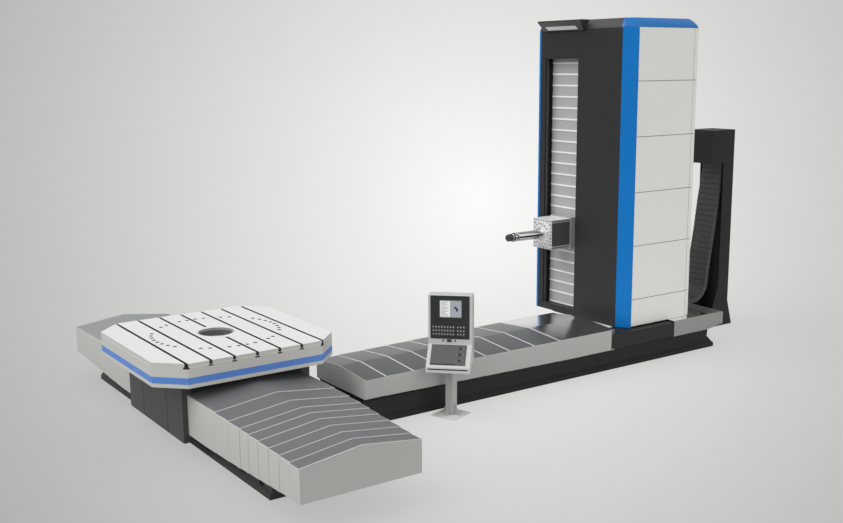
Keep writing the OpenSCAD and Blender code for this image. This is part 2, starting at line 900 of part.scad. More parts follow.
panel_in = 8;
strip_h = 50;
ram_plate_t = 12;
module ram() {
    panel_h = ram_h - 2 * strip_h;
    color(steel) on_floor() difference() {
        y_prism(ram_y, ram_rear_y) ram_section(0);
        translate([ram_x, ram_y - 1, spindle_z]) rotate([-90, 0, 0])
            cylinder(d = ram_bore_d, h = ram_rear_y - ram_y + 2);
        // Shallow recess along each side, behind the front plate.
        for (side = [-1, 1]) {
            wall_x = ram_x + side * ram_w / 2;
            block([wall_x - panel_in, ram_y + ram_plate_t, spindle_z - panel_h / 2],
                [wall_x + panel_in, ram_rear_y + 1, spindle_z + panel_h / 2]);
        }
    }
}

module along_spindle(y) {
    translate([ram_x, y, spindle_z]) rotate([-90, 0, 0]) children();
}

screw_circle_d = 330;
module ram_flange() {
    color(steel) on_floor() difference() {
        along_spindle(ram_y - flange_t) cylinder(d = flange_d, h = flange_t, $fn = 96);
        along_spindle(ram_y - flange_t - 1) cylinder(d = nose_d + 2 * gap, h = flange_t + 2, $fn = 96);
        for (n = [0 : 11])
            translate([ram_x, 0, spindle_z]) rotate([0, n * 30, 0])
                translate([screw_circle_d / 2, ram_y - flange_t - 1, 0]) rotate([-90, 0, 0])
                    cylinder(r = 9, h = 19, $fn = 24);
    }
}

// Milling spindle: turns in the ram and carries the boring spindle.
module spindle_nose() {
    color(steel) on_floor() difference() {
        union() {
            along_spindle(ram_y - nose_t) cylinder(d = nose_d, h = nose_t + 10, $fn = 96);
            along_spindle(ram_y + 10) cylinder(d = nose_d, h = nose_rear_y - ram_y - 10, $fn = 96);
        }
        along_spindle(ram_y - nose_t - 1)
            cylinder(d = boring_d + 2 * gap, h = nose_rear_y - ram_y + nose_t + 2, $fn = 96);
    }
}

module boring_spindle() {
    color(steel) on_floor()
        along_spindle(tip_y + holder_l) cylinder(d = boring_d, h = bar_rear_y - tip_y - holder_l, $fn = 96);
}

// Tool holder: a collar, a body and a chamfered nose with a socket for a tool shank.
socket_r = 16;
socket_l = 60;
module tool_holder() {
    r = boring_d / 2;
    color(dark_steel) on_floor() along_spindle(tip_y) rotate_extrude($fn = 96) polygon([
        [socket_r, 0], [r * 0.55, 0], [r * 0.75, 18], [r * 0.75, 60], [r * 0.92, 66],
        [r * 0.92, 150], [r + 9, 156], [r + 9, 190], [r * 0.9, 196], [r * 0.9, holder_l],
        [0, holder_l], [0, socket_l], [socket_r, socket_l]
    ]);
}

// ---- Mast, hood and energy chain ----

module chain_bracket() {
    t = bracket_t;
    w = chain_w + 60;
    end_y = bracket_y + chain_t / 2;
    color(charcoal) on_floor() difference() {
        block([chain_x - w / 2, rear_y, bracket_z], [chain_x + w / 2, end_y, bracket_z + bracket_h]);
        block([chain_x - w / 2 + t, rear_y + t, bracket_z - 1],
            [chain_x + w / 2 - t, end_y + 1, bracket_z + bracket_h - t]);
    }
}

// Middle line of the chain: down from the mast, round the turn and up to the bracket.
turn_steps = 12;
turn_c = [chain_low[0] - chain_turn_r, chain_low[1] - 60];
chain_end_z = bracket_z + bracket_h - bracket_t;
chain_line = concat(
    [chain_top, chain_top - [0, 90], [mast_y + 27, 2868], [mast_y - 64, 2355], [mast_y - 140, 1801],
        [mast_y - 222, 1339]],
    [for (n = [0 : turn_steps]) let (a = 180 * n / turn_steps)
        turn_c + chain_turn_r * [cos(a), -sin(a)]],
    [[turn_c[0] - chain_turn_r - 70, 1400], [turn_c[0] - chain_turn_r - 150, 1950],
        [bracket_y, chain_end_z - 260], [bracket_y, chain_end_z]]
);
function unit(v) = v / norm(v);
function bend(list, n) =
    let (last = len(list) - 1, a = list[max(n - 1, 0)], b = list[min(n + 1, last)])
    [-unit(b - a)[1], unit(b - a)[0]];

module energy_chain() {
    last = len(chain_line) - 1;
    color(charcoal) on_floor() x_prism(chain_x - chain_w / 2, chain_x + chain_w / 2)
        polygon(concat(
            [for (n = [0 : last]) chain_line[n] + bend(chain_line, n) * chain_t / 2],
            [for (n = [last : -1 : 0]) chain_line[n] - bend(chain_line, n) * chain_t / 2]
        ));
}

module mast() {
    l = chain_x - mast_w / 2;
    r = chain_x + mast_w / 2;
    color(charcoal) on_floor() {
        z_prism(0, mast_h) difference() {
            translate([l, mast_y]) square([mast_w, mast_d]);
            translate([l + mast_wall, mast_y - 1]) square([mast_w - 2 * mast_wall, mast_d - mast_wall + 1]);
        }
        x_prism(l, r) polygon([
            [mast_y + mast_d, 464], [mast_y + mast_d + foot_flare, 0], [mast_y + mast_d, 0]
        ]);
        for (x = [l, r - mast_wall]) x_prism(x, x + mast_wall) polygon([
            [mast_y, 0], [mast_y - 167, 0], [mast_y - 130, 383], [mast_y, 760]
        ]);
    }
}

module chain_hood() {
    l = chain_x - mast_w / 2;
    r = chain_x + mast_w / 2;
    color(charcoal) on_floor() difference() {
        block([l, mast_y - hood_front, mast_h], [r, mast_y + mast_d, mast_h + hood_h]);
        block([l + mast_wall, mast_y - hood_front + mast_wall, mast_h - 1],
            [r - mast_wall, mast_y + mast_d - mast_wall, mast_h + hood_h - mast_wall]);
    }
    // Cross plate that the chain's end is bolted to.
    color(charcoal) on_floor()
        block([l + mast_wall, mast_y - 20, mast_h], [r - mast_wall, mast_y + 110, mast_h + 14]);
}

// ---- Operator's console ----

module at_console() {
    on_floor() translate([post_x, post_y, 0]) children();
}

module facing() {
    rotate([0, 0, face_turn]) children();
}

module console_post() {
    w = post_w / 2;
    color(panel_white) at_console() rotate([0, 0, base_turn]) {
        block([-base_w / 2, -base_w / 2, 0], [base_w / 2, base_w / 2, 16]);
        block([-w, -w, 16], [w, w, cabinet_z - pivot_t]);
        // Round plate that the cabinet swivels on.
        translate([0, 0, cabinet_z - pivot_t]) cylinder(r = w, h = pivot_t);
        for (turn = [0, 90, 180, 270]) rotate([0, 0, turn])
            y_prism(-6, 6) polygon([[w, 16], [w + 90, 16], [w, 190]]);
    }
}

// Side outline of the cabinet, drawn in by t: [distance behind the post's axis, height].
module cabinet_outline(t) {
    polygon([
        [120 - t, cabinet_z + gap + t], [120 - t, console_z - t], [face_y + t, console_z - t],
        [face_y + t, desk_z - t / 2], [desk_y + t, desk_edge_z - t / 2],
        [desk_y + t, lip_bottom_z + t], [desk_y + 40, lip_bottom_z + t],
        [face_y - 30, cabinet_z + gap + t]
    ]);
}

cabinet_wall = 4;
module console_cabinet() {
    half_w = console_w / 2;
    color(panel_white) at_console() facing() difference() {
        x_prism(-half_w, half_w) cabinet_outline(0);
        x_prism(-half_w + cabinet_wall, half_w - cabinet_wall) cabinet_outline(cabinet_wall);
    }
}

// Panel on the upright face, from x0 to x1 and z0 to z1, standing out by t.
module face_panel(x0, x1, z0, z1, t) {
    block([x0, face_y - t, z0], [x1, face_y, z1]);
}

module screen() {
    color("#222226") at_console() facing()
        face_panel(-console_w / 2 + 30, console_w / 2 - 30, 1290, console_z - 34, 5);
}

key_pitch = 32;
key_size = 24;
module keypad() {
    color("#4a4b4d") at_console() facing() {
        face_panel(-console_w / 2 + 30, console_w / 2 - 30, 1100, 1288, 5);
        for (row = [0 : 2], col = [0 : 11])
            if (col != 8)
                translate([-220 + col * 38, face_y - 8, 1160 + row * key_pitch])
                    cube([key_size, 3, key_size]);
    }
}

// Knob n on the sloping desk, counted from its upper edge.
desk_slope = atan2(desk_z - desk_edge_z, face_y - desk_y);
module knob(n) {
    color("#8a8a88") at_console() facing() translate([console_w / 2 - 160, face_y, desk_z])
        rotate([desk_slope, 0, 0]) translate([0, -65 - n * 95, gap]) {
            cylinder(r = knob_r, h = 22);
            translate([0, 0, 22]) cylinder(r1 = knob_r, r2 = knob_r * 0.8, h = 5);
        }
}

module knob_1() { knob(0); }
module knob_2() { knob(1); }
module knob_3() { knob(2); }

table_bed();
column_bed();
guide_rails();
feed_screws();
table_cover(1);  // table_cover_1
table_cover(2);  // table_cover_2
table_cover(3);  // table_cover_3
table_cover(4);  // table_cover_4
table_cover(5);  // table_cover_5
table_cover(6);  // table_cover_6
table_cover(7);  // table_cover_7
table_cover(8);  // table_cover_8
table_cover(9);  // table_cover_9
column_cover(1);  // column_cover_1
column_cover(2);  // column_cover_2
column_cover(3);  // column_cover_3
column_cover(4);  // column_cover_4
column_cover(5);  // column_cover_5
column_cover(6);  // column_cover_6
column_cover(7);  // column_cover_7
column_cover(8);  // column_cover_8
column_cover(9);  // column_cover_9
table_saddle();
saddle_skirts();
table_bearing();
table_drive();
rotary_table();
table_band();
column_saddle();
column_frame();
front_cover();
edge_trim();
side_panels();
top_cover();
rear_cover();
lift_rails();
lift_screw();
lift_drive();
work_light();
light_lens();
headstock();
ram_wiper();
upper_apron();
lower_apron();
ram();
ram_flange();
spindle_nose();
boring_spindle();
tool_holder();
chain_bracket();
energy_chain();
mast();
chain_hood();
console_post();
console_cabinet();
screen();
keypad();
knob_1();
knob_2();
knob_3();
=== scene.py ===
"""Finished surfaces of a horizontal boring machine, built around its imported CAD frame.

The file is laid out as an add-on and is run as a script. Lengths are in metres, X runs along
the table bed, Y along the column bed, and Z is up. Places and sizes come from the CAD nodes.
"""

import json
import math

import bmesh
import bpy
import numpy as np
from bpy.props import FloatProperty, FloatVectorProperty, PointerProperty
from mathutils import Matrix, Vector


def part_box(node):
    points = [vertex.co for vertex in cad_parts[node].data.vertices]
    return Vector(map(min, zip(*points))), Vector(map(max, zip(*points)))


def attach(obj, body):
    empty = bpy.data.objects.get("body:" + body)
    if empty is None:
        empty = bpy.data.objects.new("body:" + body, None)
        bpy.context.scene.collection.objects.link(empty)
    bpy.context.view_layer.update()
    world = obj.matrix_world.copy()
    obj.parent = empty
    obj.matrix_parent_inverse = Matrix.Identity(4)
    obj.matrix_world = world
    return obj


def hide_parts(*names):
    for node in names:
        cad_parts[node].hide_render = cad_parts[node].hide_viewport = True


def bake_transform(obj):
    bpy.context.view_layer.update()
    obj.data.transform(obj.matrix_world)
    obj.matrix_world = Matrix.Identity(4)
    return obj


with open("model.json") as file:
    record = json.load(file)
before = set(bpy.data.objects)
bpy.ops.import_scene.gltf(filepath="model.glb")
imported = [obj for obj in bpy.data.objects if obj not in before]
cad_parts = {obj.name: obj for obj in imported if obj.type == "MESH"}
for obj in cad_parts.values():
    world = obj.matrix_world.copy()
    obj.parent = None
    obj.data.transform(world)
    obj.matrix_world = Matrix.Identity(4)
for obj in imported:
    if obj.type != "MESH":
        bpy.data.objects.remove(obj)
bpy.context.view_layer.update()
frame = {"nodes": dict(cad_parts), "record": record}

bl_info = {
    "name": "Horizontal boring machine",
    "version": (1, 0, 0),
    "blender": (4, 5, 0),
    "location": "View3D > Sidebar > Machine",
    "description": "Builds the finished surfaces of a horizontal boring machine",
    "category": "Object",
}


def linear(*colour):
    """Linear colour of an sRGB colour given in steps from 0 to 255."""
    c = np.array(colour) / 255
    return tuple(np.where(c < 0.04, c / 12.92, ((c + 0.055) / 1.055) ** 2.4))


# ---- Sizes and colours that a user would change ----


def colour_of(name, words, *rgb):
    return FloatVectorProperty(
        name=name, description=words, subtype="COLOR", size=3, min=0, max=1,
        default=linear(*rgb),
    )


def length_of(name, words, value):
    return FloatProperty(
        name=name, description=words, subtype="DISTANCE", unit="LENGTH", min=0, default=value
    )


class MachineColours(bpy.types.PropertyGroup):
    casting: colour_of("Casting", "Paint of the beds and saddles", 42, 42, 42)
    panel: colour_of("Panels", "Enamel of the column's side panels", 240, 240, 236)
    # Its darker copy on the crown is painted shade.
    accent: colour_of("Accent", "Enamel of the corners and the crown", 12, 123, 204)
    band: colour_of("Band", "Enamel of the band round the table", 96, 142, 218)
    # Its copies are painted light on the crown's front and the work light, and painted shade on the
    # mast and the window's returns.
    charcoal: colour_of("Charcoal", "Paint of the front, the mast and the work light", 48, 48, 49)
    skirt: colour_of("Skirts", "Paint of the table saddle's skirts", 70, 70, 72)
    # Its copies are painted light on the table covers' walls and the column covers' end plates, and
    # painted shade on the column covers' rear walls.
    sheet: colour_of("Cover walls", "Satin side walls of the telescopic covers", 180, 181, 177)
    # Its lighter copy on the table covers' far roofs is painted light.
    roof: colour_of("Cover roofs", "Brushed roofs of the telescopic covers", 114, 115, 116)
    wiper: colour_of("Wiper strips", "Polished strips across the covers' roofs", 238, 238, 238)
    table_top: colour_of("Clamping face", "Ground face of the table", 244, 244, 244)
    # Its lighter copy on the drip strips is a painted highlight.
    table_side: colour_of("Table sides", "Paint of the table's rim and lip", 204, 204, 200)
    # The slats' rolled edges are near-white instead, as a painted highlight.
    slat: colour_of("Slats", "Steel slats in front of the headstock", 182, 183, 180)
    steel: colour_of("Machined steel", "Ram, spindle and ways", 200, 201, 200)
    # Its lighter copy on the ram's recessed sides is painted shade.
    dark_steel: colour_of("Dark steel", "Recesses of the ram and the tool holder", 70, 70, 71)
    chain: colour_of("Energy chain", "Plastic links", 70, 70, 71)
    console: colour_of("Console", "Enamel of the console's cabinet", 205, 205, 203)
    console_face: colour_of("Console face", "Membrane round the screen and the keys", 44, 45, 47)
    desk: colour_of("Console desk", "Sloping desk plate", 94, 94, 95)
    backdrop: colour_of("Backdrop", "Floor and background", 252, 252, 250)


class MachineSizes(bpy.types.PropertyGroup):
    bend: length_of("Sheet bend", "Bend radius of the cover sheets", 0.014)
    sheet: length_of("Sheet", "Thickness of the cover sheets", 0.003)
    wiper: length_of("Wide strip", "Width of the polished strips before the column", 0.018)
    roll: length_of("Narrow strip", "Width of the polished strips on the other covers", 0.006)
    edge: length_of("Casting edge", "Rounding of the castings' edges", 0.008)
    link: length_of("Link", "Length of each link of the energy chain", 0.1)


def colours():
    return bpy.context.scene.machine_colours


def sizes():
    return bpy.context.scene.machine_sizes


# ---- Shader building ----


def operator_for(operation, reflected=False):
    """A method of Wire that adds a Math node. Reflected swaps its two values."""

    def method(self, other):
        values = (other, self) if reflected else (self, other)
        return self.finish.node("ShaderNodeMath", {"operation": operation}, dict(enumerate(values)))

    return method


class Wire:
    """A node's output. Arithmetic on wires adds the Math nodes that work it out."""

    def __init__(self, finish, socket):
        self.finish = finish
        self.socket = socket

    __add__ = __radd__ = operator_for("ADD")
    __mul__ = __rmul__ = operator_for("MULTIPLY")
    __sub__ = operator_for("SUBTRACT")
    __rsub__ = operator_for("SUBTRACT", reflected=True)
    __pow__ = operator_for("POWER")
    __rpow__ = operator_for("POWER", reflected=True)
    highest = operator_for("MAXIMUM")


class Finish:
    """A node tree under construction, for a material or for the world."""

    def __init__(self, owner):
        owner.use_nodes = True
        self.tree = owner.node_tree
        self.tree.nodes.clear()

    def node(self, kind, settings=None, sockets=None, out=0):
        """A node of a kind with its settings, then the values or wires of its sockets."""
        made = self.tree.nodes.new(kind)
        for key, value in (settings or {}).items():
            if key == "stops":
                self.set_stops(made.color_ramp, value)
            else:
                setattr(made, key, value)
        for key, value in (sockets or {}).items():
            if isinstance(value, Wire):
                self.tree.links.new(value.socket, made.inputs[key])
            else:
                made.inputs[key].default_value = value
        return Wire(self, made.outputs[out]) if made.outputs else None

    @staticmethod
    def set_stops(ramp, stops):
        """Stops of a ramp as pairs of a position and a grey level."""
        while len(ramp.elements) < len(stops):
            ramp.elements.new(0.5)
        for element, (position, level) in zip(ramp.elements, stops):
            element.position = position
            element.color = (level, level, level, 1)

    def place(self, scale, turn):
        """Object coordinates, stretched by scale and turned by turn, in degrees."""
        where = self.node("ShaderNodeTexCoord", out="Object")
        angles = [math.radians(a) for a in turn]
        return self.node(
            "ShaderNodeMapping", None, {"Vector": where, "Scale": scale, "Rotation": angles}
        )

    def noise(self, scale, detail=3.0, rough=0.5, stretch=(1, 1, 1), turn=(0, 0, 0)):
        return self.node(
            "ShaderNodeTexNoise", None,
            {"Vector": self.place(stretch, turn), "Scale": scale, "Detail": detail,
             "Roughness": rough},
        )

    def ramp(self, value, *stops):
        return self.node("ShaderNodeValToRGB", {"stops": stops}, {"Fac": value})

    def blended(self, amount, low, high):
        """Colour low where amount is 0 and high where it is 1."""
        values = [v if isinstance(v, (Wire, float)) else (*v, 1) for v in (amount, low, high)]
        return self.node("ShaderNodeMix", {"data_type": "RGBA"}, dict(zip((0, 6, 7), values)), 2)

    def bump(self, height, distance, strength):
        return self.node(
            "ShaderNodeBump", None, {"Height": height, "Distance": distance, "Strength": strength}
        )

    def surface(self, **sockets):
        shader = self.node(
            "ShaderNodeBsdfPrincipled", None,
            {key.replace("_", " "): value for key, value in sockets.items()},
        )
        self.node("ShaderNodeOutputMaterial", None, {"Surface": shader})


def shade(colour, factor):
    """The colour made darker or lighter by a factor, never above white."""
    return tuple(min(1.0, c * factor) for c in colour)


def new_finish(name):
    return Finish(bpy.data.materials.new(name))


def cast_paint(name, colour, rough=0.55):
    """Thick paint over a casting: soft pebbled relief, patches and a dusting of lighter wear."""
    f = new_finish(name)
    patches = f.noise(1.3, 4.0, 0.6)
    pebbles = f.noise(70.0, 3.0, 0.55)
    dust = f.ramp(f.noise(9.0, 6.0, 0.7), (0.52, 0.0), (0.78, 1.0))
    base = f.blended(patches, shade(colour, 0.86), shade(colour, 1.12))
    base = f.blended(dust * 0.35, base, shade(colour, 1.6))
    f.surface(
        Base_Color=base, Roughness=pebbles * 0.16 + (rough - 0.08),
        Normal=f.bump(pebbles, 0.0012, 0.5), Specular_IOR_Level=0.3,
    )


def enamel(name, colour, rough=0.34, wear=0.02, shine=1.0):
    """Sprayed enamel on sheet: fine orange peel, hardly any change of shade."""
    f = new_finish(name)
    haze = f.noise(0.8)
    peel = f.noise(260.0, 2.0)
    smear = f.noise(3.2, 5.0, 0.6, (1, 1, 0.22))
    base = f.blended(haze, shade(colour, 1 - wear), shade(colour, 1 + wear))
    base = f.blended(f.ramp(smear, (0.55, 0.0), (0.8, 1.0)) * 0.1, base, shade(colour, 0.84))
    f.surface(
        Base_Color=base, Roughness=smear * 0.14 + (rough - 0.07),
        Normal=f.bump(peel, 0.0003, 0.35), Specular_IOR_Level=0.5 * shine,
        Coat_Weight=0.12 * shine, Coat_Roughness=0.2,
    )


def brushed(name, colour, along, metal=0.55, rough=0.38, depth=0.06):
    """Brushed or ground steel. Along is how far each axis is stretched: little along the grain."""
    f = new_finish(name)
    grain = f.noise(420.0, 2.0, 0.6, along)
    streaks = f.noise(36.0, 4.0, 0.65, along)
    clouds = f.noise(1.1)
    base = f.blended(streaks, shade(colour, 1 - depth), shade(colour, 1 + depth))
    base = f.blended(clouds, shade(colour, 1 - depth), base)
    f.surface(
        Base_Color=base, Metallic=metal, Roughness=grain * 0.16 + (rough - 0.08),
        Normal=f.bump(grain, 0.00025, 0.4),
    )


def moulded(name, colour, rough=0.5):
    """Moulded plastic or rubber with a fine sparkle grain."""
    f = new_finish(name)
    grain = f.noise(900.0, 2.0)
    wear = f.noise(14.0, 4.0, 0.6)
    base = f.blended(wear, shade(colour, 0.88), shade(colour, 1.14))
    f.surface(
        Base_Color=base, Roughness=wear * 0.2 + (rough - 0.1), Normal=f.bump(grain, 0.0002, 0.5)
    )


def ground_face(name, colour):
    """Ground cast iron of the clamping face: fine lines along X, faint stains and scratches."""
    f = new_finish(name)
    lines = f.noise(240.0, 3.0, 0.6, (0.02, 1, 1))
    stains = f.ramp(f.noise(2.4, 5.0, 0.6), (0.5, 0.0), (0.85, 1.0))
    scratches = f.ramp(f.noise(30.0, 2.0, 0.4, (0.15, 1.6, 1), (0, 0, 24)), (0.66, 0.0), (0.7, 1.0))
    base = f.blended(lines, shade(colour, 0.94), shade(colour, 1.03))
    base = f.blended(stains * 0.18, base, shade(colour, 0.8))
    base = f.blended(scratches * 0.14, base, shade(colour, 0.7))
    f.surface(
        Base_Color=base, Metallic=0.08, Roughness=lines * 0.2 + 0.3,
        Normal=f.bump(lines, 0.0002, 0.4),
    )


def glowing(name, colour, glow):
    """Frosted lens or lit field, with a soft mottle behind the glass."""
    f = new_finish(name)
    mottle = f.noise(60.0, 2.0)
    base = f.blended(mottle, shade(colour, 0.94), colour)
    f.surface(
        Base_Color=base, Emission_Color=base, Emission_Strength=glow, Roughness=mottle * 0.1 + 0.12
    )


# ---- Shapes worked out as arrays ----

# The radius that stands for none where a turned shape meets its axis, and the number of steps
# round each corner of an eased path.
POLE, EASE_STEPS = 1e-5, 3


class Shape:
    """Points, faces and each face's finish number. Shapes add up and repeat."""

    def __init__(self, points, faces, finish=0):
        self.points = np.asarray(points, float).reshape(-1, 3)
        self.faces = [tuple(f) for f in faces]
        self.finish = list(finish) if np.ndim(finish) else [finish] * len(self.faces)

    def __add__(self, other):
        start = len(self.points)
        faces = self.faces + [tuple(i + start for i in f) for f in other.faces]
        return Shape(np.vstack([self.points, other.points]), faces, self.finish + other.finish)

    def at(self, *offset):
        return Shape(self.points + np.array(offset, float), self.faces, self.finish)

    def turned(self, axis, degrees):
        """The shape turned about an axis through the origin."""
        turn = np.array(Matrix.Rotation(math.radians(degrees), 3, axis))
        return Shape(self.points @ turn.T, self.faces, self.finish)

    def copies(self, offsets):
        """The shape repeated at each offset: every point plus every offset."""
        offsets = np.asarray(offsets, float).reshape(-1, 3)
        count = len(self.points)
        points = (self.points[None] + offsets[:, None]).reshape(-1, 3)
        faces = [tuple(i + n * count for i in f) for n in range(len(offsets)) for f in self.faces]
        return Shape(points, faces, self.finish * len(offsets))


def total(shapes):
    made = Shape(np.zeros((0, 3)), [])
    for shape in shapes:
        made = made + shape
    return made


def surface(grid, caps=True):
    """Quads over a grid of points. Each row is a closed loop, and the end rows get flat caps."""
    grid = np.asarray(grid, float)
    rows, columns = grid.shape[:2]
    index = np.arange(rows * columns).reshape(rows, columns)
    index = np.hstack([index, index[:, :1]])
    quads = np.stack([index[:-1, :-1], index[:-1, 1:], index[1:, 1:], index[1:, :-1]], -1)
    faces = quads.reshape(-1, 4).tolist()
    if caps:
        faces += [index[0, :columns][::-1].tolist(), index[-1, :columns].tolist()]
    return Shape(grid, faces)


def on_axis(points, axis):
    """Points drawn with their third number along Z, laid so that it runs along an axis."""
    order = {"X": [2, 0, 1], "Y": [0, 2, 1], "Z": [0, 1, 2]}[axis]
    return np.asarray(points, float)[..., order]


def lifted(outline, height):
    """A flat outline as points at a height."""
    return np.column_stack([outline, np.full(len(outline), height)])


def swept(outline, stations, axis):
    """A flat outline carried along an axis. A station is a place, or a place and a scale."""
    pairs = [station if np.ndim(station) else (station, 1.0) for station in stations]
    rows = [lifted(np.asarray(outline, float) * scale, place) for place, scale in pairs]
    return surface(on_axis(rows, axis))


def circle(count, start=0.0):
    """Angles of evenly spread places round a circle."""
    return start + np.linspace(0, 2 * np.pi, count, endpoint=False)


def polar(r, u):
    """Points at distances r and angles u from the origin: r cos u, r sin u."""
    return np.column_stack([r * np.cos(u), r * np.sin(u)])


def ring_of_places(radius, count, start=0.0):
    """Count places round a circle in the XY plane."""
    return lifted(polar(radius, circle(count, start)), 0)


def lathe(profile, segments=32, axis="Z"):
    """A profile of (radius, height) turned about an axis: r cos u, r sin u, h. A pole keeps a
    hair's radius, so that its ring stays one."""
    u = circle(segments)
    r, h = np.asarray(profile, float).T
    r = np.maximum(r, POLE)
    grid = [np.outer(r, np.cos(u)), np.outer(r, np.sin(u)), np.outer(h, np.ones(segments))]
    return surface(on_axis(np.stack(grid, -1), axis))


def hoop(profile, segments):
    """A closed profile of (radius, height) turned about Z: r cos u, r sin u, h, with no caps."""
    rows = lathe(profile, segments).points.reshape(len(profile), segments, 3)
    return surface(np.concatenate([rows, rows[:1]]), caps=False)


def rectangle(w, h, r, steps=4):
    """Rectangle of size w by h about the origin, each corner a quarter circle of radius r."""
    arc = polar(r, np.linspace(0, np.pi / 2, steps + 1))
    corners = []
    for n, (sx, sy) in enumerate([(1, 1), (-1, 1), (-1, -1), (1, -1)]):
        c, s = math.cos(n * math.pi / 2), math.sin(n * math.pi / 2)
        turned = arc @ np.array([[c, s], [-s, c]])
        corners.append(turned + [sx * (w / 2 - r), sy * (h / 2 - r)])
    return np.vstack(corners)


def pad(w, h, t, r, edge, axis="Z"):
    """A plate of thickness t with round corners and a softened upper edge."""
    outline = rectangle(w, h, r)
    inner = rectangle(w - 2 * edge, h - 2 * edge, max(r - edge, edge / 2))
    rows = [
        lifted(outline, 0), lifted(outline, t - edge),
        lifted(outline * 0.3 + inner * 0.7, t - edge * 0.3), lifted(inner, t),
    ]
    return surface(on_axis(rows, axis))


def eased(path, radius):
    """An open path whose corners are quadratic curves that start a radius away from them."""
    path = np.asarray(path, float)
    s = np.linspace(0, 1, EASE_STEPS + 1)[:, None]
    made = [path[:1]]
    for a, p, b in zip(path[:-2], path[1:-1], path[2:]):
        start = p + (a - p) / np.linalg.norm(a - p) * radius
        end = p + (b - p) / np.linalg.norm(b - p) * radius
        made.append((1 - s) ** 2 * start + 2 * s * (1 - s) * p + s**2 * end)
    return np.vstack([*made, path[-1:]])


def unit(vectors):
    return vectors / np.linalg.norm(vectors, axis=1)[:, None]


def drawn_in(path, distance):
    """The path moved to its right by a distance, measured square to it at each point."""
    steps = np.diff(path, axis=0)
    ahead, behind = unit(np.vstack([steps, steps[-1:]])), unit(np.vstack([steps[:1], steps]))
    middle = unit(ahead + behind)
    stretch = 1 / np.maximum((middle * ahead).sum(1), 0.5)
    return path + np.column_stack([middle[:, 1], -middle[:, 0]]) * (distance * stretch)[:, None]


# ---- Pieces ----

SHARP, FLAT = math.radians(32), math.radians(0.6)


def added(name, data):
    """A new object in the scene, from its data."""
    made = bpy.data.objects.new(name, data)
    bpy.context.scene.collection.objects.link(made)
    return made


def shown(name, mesh, body, slot, finishes, replaced=(), width=0, segments=2, blend=None):
    """Puts a mesh in the scene as a piece: its finishes, its rounded edges and its body. Given a
    blend, it joins no body and its place is baked into its mesh.
    """
    for finish in coat(finishes):
        mesh.materials.append(finish)
    mesh.polygons.foreach_set("use_smooth", [True] * len(mesh.polygons))
    mesh.set_sharp_from_angle(angle=SHARP)
    made = added(name, mesh)
    if width:
        rounding = made.modifiers.new("Rounded edges", "BEVEL")
        rounding.width, rounding.segments = width, segments
        rounding.limit_method, rounding.angle_limit = "ANGLE", SHARP
        rounding.harden_normals = True
    if replaced:
        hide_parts(*replaced)
    if blend:
        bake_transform(made)
    else:
        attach(made, body)


def piece(name, shape, body, slot, finishes, replaced=(), **options):
    """A new piece from a shape whose separate shells are all closed."""
    mesh = bpy.data.meshes.new(name)
    mesh.from_pydata(shape.points.tolist(), [], shape.faces)
    mesh.polygons.foreach_set("material_index", shape.finish)
    work = bmesh.new()
    work.from_mesh(mesh)
    bmesh.ops.recalc_face_normals(work, faces=work.faces)
    work.to_mesh(mesh)
    work.free()
    shown(name, mesh, body, slot, finishes, replaced, **options)


def body_of(node):
    return next(b for b, nodes in frame["record"]["behaviour"]["bodies"].items() if node in nodes)


def refined(node, slot, finishes, width, segments=2, choose=None):
    """A copy of a node's mesh, merged and with rounded edges. Choose picks each face's finish
    from the faces' centres and normals."""
    mesh = bpy.data.meshes.new(node + "_surface")
    work = bmesh.new()
    work.from_mesh(frame["nodes"][node].data)
    bmesh.ops.remove_doubles(work, verts=work.verts, dist=1e-5)
    bmesh.ops.dissolve_limit(
        work, angle_limit=FLAT, verts=work.verts, edges=work.edges, delimit={"NORMAL"}
    )
    work.to_mesh(mesh)
    work.free()
    if "custom_normal" in mesh.attributes:
        mesh.attributes.remove(mesh.attributes["custom_normal"])
    mesh.materials.clear()
    chosen = np.zeros(len(mesh.polygons), int)
    if choose:
        facts = []
        for fact in ("center", "normal"):
            values = np.zeros(len(mesh.polygons) * 3)
            mesh.polygons.foreach_get(fact, values)
            facts.append(values.reshape(-1, 3))
        chosen = np.asarray(choose(*facts), int)
    mesh.polygons.foreach_set("material_index", chosen)
    shown(
        node + "_surface", mesh, body_of(node), slot, finishes, (node,), width=width,
        segments=segments,
    )


def coated(node, finish):
    """Gives a CAD node that keeps its own mesh a finish."""
    made, (material,) = frame["nodes"][node], coat(finish)
    for place in made.material_slots:
        place.material = material
    if not made.material_slots:
        made.data.materials.append(material)


def corners(node):
    """Lowest and highest corner of a CAD node as arrays."""
    low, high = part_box(node)
    return np.array(low), np.array(high)


def middle_of(node):
    low, high = corners(node)
    return (low + high) / 2


def points_of(node):
    return np.array([v.co for v in frame["nodes"][node].data.vertices])


# ---- Finishes by name ----

# How far the brushed finishes' grain is stretched along each axis.
ALONG_X = (0.03, 1, 1)
ALONG_Y = (1, 0.03, 1)
ALONG_Z = (1, 1, 0.03)
EVERY_WAY = (1, 1, 1)
TURNED = (1, 0.2, 1)

